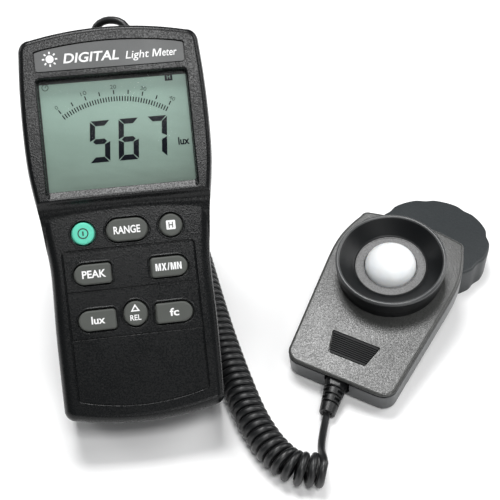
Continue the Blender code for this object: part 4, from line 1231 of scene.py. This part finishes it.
def softened(outline_of, low, high, soft):
    """A prism with rounded lower and upper edges; outline_of(grow) gives its outline."""
    steps = 4
    rings = []
    for step in range(steps + 1):
        angle = math.radians(90 * step / steps)
        rings.append((outline_of(-soft * (1 - math.sin(angle))), low + soft * (1 - math.cos(angle))))
    for step in range(steps + 1):
        angle = math.radians(90 * step / steps)
        rings.append((outline_of(-soft * (1 - math.cos(angle))), high - soft * (1 - math.sin(angle))))
    return loft(rings)


def row_of_slots(slot, count, pitch, depth):
    """Cutters for equal slots, one above the other; a slot is (half width, lower end, upper end, radius)."""
    half_x, low_y, high_y, radius = slot
    return [prism(rectangle(half_x, low_y + pitch * row, high_y + pitch * row, radius), OUTSIDE, depth)
            for row in range(count)]


def make_rear_case():
    recess_x = STAND_HALF_WIDTH + STAND_ROOM
    leg_inner = STAND_HALF_WIDTH - STAND_LEG - STAND_ROOM
    foot_y = STAND_FOOT_Y - 0.5
    cuts = [prism(body_outline(WALL), *BACK_INSIDE_Z), prism(rectangle(*BATTERY_BAY), *BATTERY_BAY_Z)]
    for side in (-1, 1):
        leg = rectangle((recess_x - leg_inner) / 2, foot_y, LEG_ROOM_TOP_Y)
        cuts.append(prism(placed(leg, side * (recess_x + leg_inner) / 2, 0), OUTSIDE, LEG_DEPTH))
    cuts.append(prism(rectangle(recess_x, foot_y, FOOT_ROOM_TOP_Y), OUTSIDE, FOOT_DEPTH))
    cuts.append(prism(rectangle(recess_x - 0.1, *HINGE_ROOM_Y), OUTSIDE, HINGE_DEPTH))
    cuts.append(prism(rectangle(*FINGER_HOLLOW), OUTSIDE, FINGER_DEPTH))
    door = rectangle(DOOR_X + GAP, DOOR_Y[0] - GAP, DOOR_Y[1] + GAP, 0.9)
    cuts.append(prism(door, OUTSIDE, DOOR_DEPTH))
    cuts += [moved(revolve(SCREW_WELL, 40), (x, y, 0)) for x, y in SCREW_SPOTS]
    gland_x, _, gland_z = LEAD_ROUTE[0]
    cuts.append(moved(turned(revolve(GLAND_HOLE, 32), "X", -90), (gland_x, 0, gland_z)))
    cuts += row_of_slots(BACK_GRIP, BACK_GRIP_ROWS, BACK_GRIP_PITCH, BACK_GRIP_DEPTH)
    cuts.append(moved(turned(revolve(PIN_BORE, 24), "Y", 90), (0, STAND_HINGE_Y, STAND_HINGE_Z)))
    case = carved(loft(body_rings(REAR_EDGE)), cuts)
    piece("rear_case_body", case, METER, "meter", REAR, ["rear_case"], 34, True)


def make_battery_door():
    def outline(grow):
        return rectangle(DOOR_X + grow, DOOR_Y[0] - grow, DOOR_Y[1] + grow, 0.8)

    cuts = row_of_slots(DOOR_RIB, DOOR_RIBS, DOOR_RIB_PITCH, DOOR_Z[0] + DOOR_RIB_DEPTH)
    cuts.append(prism(DOOR_ARROW, OUTSIDE, DOOR_Z[0] + DOOR_ARROW_DEPTH))
    door = carved(softened(outline, *DOOR_Z, 0.3), cuts)
    piece("battery_door_panel", door, METER, "battery_door", REAR, ["battery_door"], 34, True)


def make_stand():
    """The stand, made folded about its hinge and placed open."""
    low = STAND_FOOT_Y - STAND_HINGE_Y
    inner_x = STAND_HALF_WIDTH - STAND_LEG
    back, front = [z - STAND_HINGE_Z for z in STAND_FACES]

    def outline(grow):
        return rectangle(STAND_HALF_WIDTH + grow, low - grow, 0.0 + grow, 1.6)

    window_edge = [(0.6, -9), (0.6, back), (0.25, back + 0.1), (0.0, back + 0.35),
                   (0.0, front - 0.35), (0.25, front - 0.1), (0.6, front), (0.6, 9)]
    window = loft([(rectangle(inner_x + grow, low + STAND_FOOT_BAR - grow, -STAND_CROSSBAR + grow, 1.0), z)
                   for grow, z in window_edge])
    hinge = turned(revolve(HINGE_BAR, 32), "Y", 90)
    pins = turned(revolve(HINGE_PINS, 32), "Y", 90)
    stand = carved(softened(outline, back, front, 0.5), [window, ("UNION", hinge), ("UNION", pins)])
    place = (METER @ Matrix.Translation(Vector((0, STAND_HINGE_Y, STAND_HINGE_Z)) * MM)
             @ Matrix.Rotation(math.radians(STAND_OPEN), 4, "X"))
    piece("tilt_stand_frame", stand, place, "tilt_stand", REAR, ["tilt_stand"], 34, True)


def make_gland():
    x, _, z = LEAD_ROUTE[0]
    bush = moved(turned(revolve(BUSH_PROFILE, 48), "X", -90), (x, 0, z))
    piece("lead_gland_bush", bush, METER, "meter", VINYL, ["lead_gland"], 34)


# ---------------------------------------------------------------- sensor head
HEAD_SIDES = [(6.0, 23.9), (18, 25.0), (34, 26.5), (45, 27.5), (54, 28.3), (61, 28.6), (68, 28.0),
              (75, 26.2), (80, 24.3)]
HEAD_END_LOW = (0.3, 0.0, 17.5)
HEAD_END_HIGH = (85.8, 2.4, 21.0)
HEAD_BASE_EDGE = [(0.0, 1.6), (0.12, 1.15), (0.5, 0.55), (1.0, 0.25), (1.6, 0.1), (10.25, 0.0),
                  (10.45, 0.12), (10.55, 0.5)]
HEAD_COVER_EDGE = [(11.7, 0.45), (11.76, 0.15), (11.9, 0.0), (12.1, 0.03), (12.35, 0.18), (12.6, 0.5),
                   (12.75, 0.9), (12.8, 1.4)]
HEAD_SCREWS = [(-17.0, 10.0), (17.0, 10.0), (-17.5, 76.0), (17.5, 76.0)]
RING_Y = 56.0
NOTCH_R = 5.5
NOTCH_Z = 6.4
COLLAR_PROFILE = [(15.25, 13.1), (22.3, 13.1), (22.35, 16.9), (22.6, 17.3), (22.95, 17.45), (23.05, 17.7),
                  (23.48, 22.7), (23.5, 23.1), (23.42, 23.55), (23.2, 23.92), (22.9, 24.13), (22.55, 24.2),
                  (22.15, 24.13), (21.85, 23.92), (21.6, 23.65), (21.35, 23.5), (20.9, 23.1), (16.2, 18.9),
                  (15.25, 18.65)]
# A thin lighter skin over the collar's lip: a painted highlight where the rounded lip catches the light.
LIP_HIGHLIGHT_PROFILE = [(23.42, 22.9), (23.52, 23.1), (23.45, 23.57), (23.22, 23.95), (22.91, 24.16), (22.55, 24.23),
               (22.14, 24.16), (21.83, 23.95), (21.66, 23.78), (21.8, 23.6), (22.3, 23.9), (22.9, 23.8),
               (23.25, 23.3)]
WASHER_PROFILE = [(11.3, 14.6), (15.0, 14.6), (15.0, 18.62), (14.92, 18.75), (14.75, 18.8), (14.5, 18.75),
                  (14.4, 18.55), (11.75, 18.55), (11.65, 18.68), (11.4, 18.68), (11.3, 18.55)]
DOME_R = 10.9
DOME_SEAT = 18.6
DOME_TOP = 26.2
DOME_HOLLOW_R = 9.3
DOME_WALL = 1.6
DOME_STEPS = 18
DOME_FLANGE_R = 13.2
DOME_FLANGE_Z = (13.2, 14.2)
GRIP_CORNERS = [(-7.9, 10.2), (7.9, 10.2), (10.3, 19.9), (-10.3, 19.9)]
GRIP_RIBS = 10
GRIP_BORDER = 0.2
GRIP_Z = (12.0, 12.72)
GRIP_GROOVE_LOW = 12.15
# Each groove's half width, as a share of the ribs' pitch.
GRIP_GROOVE = 0.27
# How far a step of the inlay's recess stands off it, its corner radius and its height.
GRIP_RECESS = [(GAP, 0.9, 11.7), (GAP, 0.9, 12.65), (GAP + 0.2, 1.0, 12.85), (GAP + 0.2, 1.0, 20)]
HEAD_WALL = 2.0
HEAD_FLOOR = 1.9
HEAD_POST = [(0, 1.0), (3.2, 1.0), (3.2, 9.6), (0, 9.6)]
HEAD_WELL = [(0, -1), (2.9, -1), (2.75, 0.0), (2.5, 0.25), (2.5, 2.3), (1.3, 2.3), (1.3, 11), (0, 11)]
HEAD_PILOT = [(0, 5), (1.4, 5), (1.4, 12.0), (0, 12.0)]
LIGHT_HOLE = [(0, 5), (9.0, 5), (9.0, 20), (0, 20)]
# The cover's plug that sits inside the base: how far in, and its lower and upper height.
PLUG_INSET = 2.5
PLUG_Z = (10.3, 11.6)
# The notch for the strain relief runs along the head between these two places.
NOTCH_Y = (-4.0, 5.5)


def rounded(corners, grow, radius, steps=5):
    """The outline of a convex polygon grown outwards, its corners rounded."""
    grown = inset(corners, -grow)
    count = len(grown)
    outline = []
    for i in range(count):
        before, here, after = Vector(grown[i - 1]), Vector(grown[i]), Vector(grown[(i + 1) % count])
        start = here + (before - here).normalized() * radius
        end = here + (after - here).normalized() * radius
        for step in range(steps + 1):
            t = step / steps
            point = start * (1 - t) ** 2 + here * (2 * t * (1 - t)) + end * t ** 2
            outline.append((point.x, point.y))
    return outline


def head_outline():
    return mirrored(half_outline(HEAD_SIDES, HEAD_END_LOW, HEAD_END_HIGH))


def notch_cutter(radius):
    low, high = NOTCH_Y
    bore = turned(revolve([(0, low), (radius, low), (radius, high), (0, high)], 48), "X", -90)
    return moved(bore, (0, 0, NOTCH_Z))


def make_head_base():
    outline = head_outline()
    posts = [moved(revolve(HEAD_POST, 24), (x, y, 0)) for x, y in HEAD_SCREWS]
    wells = [moved(revolve(HEAD_WELL, 32), (x, y, 0)) for x, y in HEAD_SCREWS]
    cuts = [prism(inset(outline, HEAD_WALL), HEAD_FLOOR, 20), ("UNION", merged(posts))] + wells
    cuts.append(prism(rectangle(NOTCH_R, *NOTCH_Y), NOTCH_Z, 13.0))
    cuts.append(notch_cutter(NOTCH_R))
    base = carved(loft(shell_rings(outline, HEAD_BASE_EDGE)), cuts)
    piece("head_base_body", base, HEAD, "sensor_head", HEAD_DARK, ["head_base"], 34, True)


def make_head_cover():
    outline = head_outline()
    plug = inset(outline, PLUG_INSET)
    rings = [(plug, z) for z in PLUG_Z] + shell_rings(outline, HEAD_COVER_EDGE)
    cuts = [moved(revolve(LIGHT_HOLE, 64), (0, RING_Y, 0))]
    cuts += [moved(revolve(HEAD_PILOT, 24), (x, y, 0)) for x, y in HEAD_SCREWS]
    cuts.append(loft([(rounded(GRIP_CORNERS, grow, radius), z) for grow, radius, z in GRIP_RECESS]))
    cuts.append(notch_cutter(NOTCH_R + 0.1))
    cover = carved(loft(rings), cuts)
    piece("head_cover_body", cover, HEAD, "sensor_head", HEAD_COVER, ["head_cover"], 34, True)


def make_grip():
    low = GRIP_CORNERS[0][1] + GRIP_BORDER
    high = GRIP_CORNERS[2][1] - GRIP_BORDER
    pitch = (high - low) / GRIP_RIBS
    half = pitch * GRIP_GROOVE
    middles = [low + pitch * row for row in range(1, GRIP_RIBS)]
    grooves = [prism(rectangle(12.0, y - half, y + half), GRIP_GROOVE_LOW, 14) for y in middles]
    inlay = carved(prism(rounded(GRIP_CORNERS, 0.0, 0.8), *GRIP_Z), grooves)
    piece("grip_inlay_ribs", inlay, HEAD, "sensor_head", GRIP, ["grip_inlay"], 34)


def make_sensor():
    def on_ring(profile, steps=128):
        return moved(revolve(profile, steps), (0, RING_Y, 0))

    piece("collar_ring_body", on_ring(COLLAR_PROFILE), HEAD, "sensor_head", COLLAR,
          ["collar_ring"], 38, True)
    # The lip's lighter skin is a painted highlight.
    piece("collar_lip_highlight_skin", on_ring(LIP_HIGHLIGHT_PROFILE), HEAD, "sensor_head", LIP_HIGHLIGHT)
    piece("dome_washer_body", on_ring(WASHER_PROFILE), HEAD, "sensor_head", WASHER,
          ["dome_washer"], 34)
    height = DOME_TOP - DOME_SEAT
    outer = []
    inner = []
    for step in range(1, DOME_STEPS):
        angle = math.radians(90 * step / DOME_STEPS)
        outer.append((DOME_R * math.sin(angle), DOME_SEAT + height * math.cos(angle)))
        inner.append((DOME_HOLLOW_R * math.sin(angle), DOME_SEAT + (height - DOME_WALL) * math.cos(angle)))
    low, high = DOME_FLANGE_Z
    skirt = [(DOME_R, high), (DOME_FLANGE_R, high), (DOME_FLANGE_R, low), (DOME_HOLLOW_R, low)]
    profile = [(0, DOME_TOP)] + outer + skirt + inner[::-1] + [(0, DOME_TOP - DOME_WALL)]
    piece("diffuser_dome_body", on_ring(profile, 96), HEAD, "sensor_head", OPAL,
          ["diffuser_dome"], 34)


# ---------------------------------------------------------------- sensor head: strain relief
# From its root to its tip, counted from ORIGIN, and its radii there.
RELIEF_ROUTE = [(35.6, -84.9, 6.3), (30.9, -98.9, 3.8)]
RELIEF_R = (4.8, 3.3)
# Its thick segments, as shares of its length; between them it is thinner by RELIEF_NECK.
RELIEF_SEGMENTS = [(0.0, 0.25), (0.30, 0.47), (0.52, 0.69), (0.74, 1.0)]
RELIEF_NECK = 0.9
RELIEF_BEVEL = (0.12, 0.15)
# Its mouth, where the wire leaves it: how far a step is inside the tip's radius, and before its end.
RELIEF_MOUTH = [(0.5, 0.0), (1.4, 0.25), (1.6, 0.9)]
# The flat on its root, under the cover: half width, its two heights, and its share of the length.
RELIEF_FLAT = (6.0, 4.1, 7.6)
RELIEF_FLAT_SHARE = 0.22
# The slots in its two middle segments: half length, half width, depth and the four sides they are on.
SLOT_HALF = (1.4, 0.6)
SLOT_DEPTH = 1.3
SLOT_TURNS = (45, 135, 225, 315)


def relief_profile(length):
    """Half of the strain relief's section: radius and distance from its root."""
    root_r, tip_r = RELIEF_R
    inward, along = RELIEF_BEVEL

    def radius(share):
        return root_r + (tip_r - root_r) * share

    profile = [(0, 0.0)]
    for number, (low, high) in enumerate(RELIEF_SEGMENTS):
        if number:
            profile.append((radius(low) - RELIEF_NECK, low * length))
        profile += [(radius(low) - inward, low * length), (radius(low), low * length + along),
                    (radius(high), high * length - along), (radius(high) - inward, high * length)]
        if number < len(RELIEF_SEGMENTS) - 1:
            profile.append((radius(high) - RELIEF_NECK, high * length))
    profile += [(tip_r - step, length - depth) for step, depth in RELIEF_MOUTH]
    return profile + [(0, length - RELIEF_MOUTH[-1][1])]


def make_strain_relief():
    start, end = [Vector(p) - ORIGIN for p in RELIEF_ROUTE]
    length = (end - start).length
    root_r, tip_r = RELIEF_R
    half_x, half_y = SLOT_HALF
    cuts = []
    for low, high in RELIEF_SEGMENTS[1:3]:
        middle = (low + high) / 2 * length
        floor = root_r + (tip_r - root_r) * low - SLOT_DEPTH
        for turn in SLOT_TURNS:
            slot = prism(rectangle(half_x, -half_y, half_y), floor, 7)
            cuts.append(turned(moved(turned(slot, "X", -90), (0, 0, middle)), "Z", turn))
    cuts.append(prism(rectangle(*RELIEF_FLAT), -1, length * RELIEF_FLAT_SHARE))
    relief = carved(revolve(relief_profile(length), 48), cuts)
    axis = (end - start).normalized()
    side = axis.cross(Vector((0, 0, 1))).normalized()
    place = Matrix((side, side.cross(axis), axis)).transposed().to_4x4()
    piece("head_strain_relief_body", relief, Matrix.Translation(start * MM) @ place, "sensor_head",
          VINYL, ["head_strain_relief"], 34, True)


# ---------------------------------------------------------------- dust cover
CAP_R = 26.3
CAP_HEIGHT = 14.0
CAP_FLUTES = 8
CAP_FLUTE_DEPTH = 0.9
# How far inside CAP_R a step of its outside is, how deep its flutes are there, and its height.
CAP_EDGE = [(0.3, 1.0, 0.0), (0.08, 1.0, 0.15), (0.0, 1.0, 0.5), (0.0, 1.0, 12.6), (0.06, 1.0, 13.1),
            (0.25, 0.97, 13.5), (0.55, 0.9, 13.8), (0.95, 0.78, 13.96), (1.5, 0.6, CAP_HEIGHT)]
CAP_STEPS_PER_FLUTE = 24
# Its hollow: how far inside CAP_R each step is, and its height.
CAP_HOLLOW = [(2.2, -1), (2.2, 0.0), (2.4, 0.3), (2.4, CAP_HEIGHT - 2.7), (2.9, CAP_HEIGHT - 2.2)]


def make_dust_cover():
    def ring(radius, flutes):
        points = []
        steps = CAP_FLUTES * CAP_STEPS_PER_FLUTE
        for step in range(steps):
            angle = 2 * math.pi * step / steps
            dip = max(0.0, math.cos(CAP_FLUTES * angle)) ** 2 * CAP_FLUTE_DEPTH * flutes
            points.append(((radius - dip) * math.cos(angle), (radius - dip) * math.sin(angle)))
        return points

    rings = [(ring(CAP_R - distance, flutes), z) for distance, flutes, z in CAP_EDGE]
    wall = [(CAP_R - distance, z) for distance, z in CAP_HOLLOW]
    hollow = revolve([(0, wall[0][1])] + wall + [(0, wall[-1][1])], 128)
    cap = carved(loft(rings), [hollow])
    piece("dust_cover_body", cap, CAP, "dust_cover", COVER, ["dust_cover"], 34, True)


# ---------------------------------------------------------------- CAD nodes that are shown as they are
def dress_nodes():
    finishes = {
        "display_window": clear_acrylic(),
        "lcd_holder": HOLDER,
        "main_board": BOARD,
        "head_board": BOARD,
        "keypad_mat": MAT,
        "battery": SLEEVE,
        "battery_clip": CLIP,
        "colour_filter": FILTER,
        "photodiode": SILICON,
    }
    for number in range(1, 5):
        finishes[f"case_screw_{number}"] = STEEL
        finishes[f"head_screw_{number}"] = STEEL
    for name, finish in finishes.items():
        for spot in bpy.data.objects[name].material_slots:
            spot.material = finish


# ---------------------------------------------------------------- floor and light
FLOOR_SIZE = 6.0
FLOOR_COLOUR = (0.90, 0.90, 0.90)
WORLD_COLOUR = (0.82, 0.84, 0.87)
WORLD_STRENGTH = 0.11
# Softboxes: name, place and aim in metres, width, height, power in watts.
LIGHTS = [
    ("back_softbox", (-0.17, 0.33, 1.2), (-0.17, 0.33, 0.0), 0.5, 0.46, 12.5),
    ("front_softbox", (0.08, -0.58, 1.2), (0.08, -0.58, 0.0), 0.5, 0.34, 7.5),
    ("left_fill", (-1.1, 0.3, 0.6), (0.0, 0.0, 0.03), 0.4, 0.6, 3.0),
    ("right_fill", (0.95, 0.25, 0.8), (0.0, 0.0, 0.03), 0.7, 0.7, 7.0),
    ("front_fill", (0.5, -1.1, 0.45), (0.05, 0.0, 0.02), 0.8, 0.3, 3.0),
]


def make_floor():
    bm = bmesh.new()
    half = FLOOR_SIZE / 2
    corners = [(-half, -half, 0), (half, -half, 0), (half, half, 0), (-half, half, 0)]
    bm.faces.new([bm.verts.new(corner) for corner in corners])
    mesh = bpy.data.meshes.new("floor")
    bm.to_mesh(mesh)
    bm.free()
    floor = bpy.data.objects.new("floor", mesh)
    bpy.context.scene.collection.objects.link(floor)
    paper = Recipe("floor_paper", FLOOR_COLOUR, 0.85)
    paper.drive("Roughness", paper.remap(paper.noise(30.0), 0.3, 0.7, 0.8, 0.9))
    mesh.materials.append(paper.material)


def make_lights():
    for name, at, aim, width, height, power in LIGHTS:
        data = bpy.data.lights.new(name, "AREA")
        data.shape = "RECTANGLE"
        data.size = width
        data.size_y = height
        data.energy = power
        light = bpy.data.objects.new(name, data)
        bpy.context.scene.collection.objects.link(light)
        light.location = at
        light.rotation_euler = (Vector(aim) - Vector(at)).to_track_quat("-Z", "Y").to_euler()
    world = bpy.data.worlds.new("studio")
    bpy.context.scene.world = world
    world.use_nodes = True
    backdrop = world.node_tree.nodes["Background"]
    backdrop.inputs["Color"].default_value = (*WORLD_COLOUR, 1.0)
    backdrop.inputs["Strength"].default_value = WORLD_STRENGTH
    bpy.context.scene.view_settings.view_transform = "Standard"


# ---------------------------------------------------------------- everything in order
make_camera()
make_front_case()
make_rear_case()
make_keys()
make_display()
make_label()
make_battery_door()
make_stand()
make_gland()
make_head_base()
make_head_cover()
make_grip()
make_sensor()
make_strain_relief()
make_lead()
make_dust_cover()
dress_nodes()
make_floor()
make_lights()
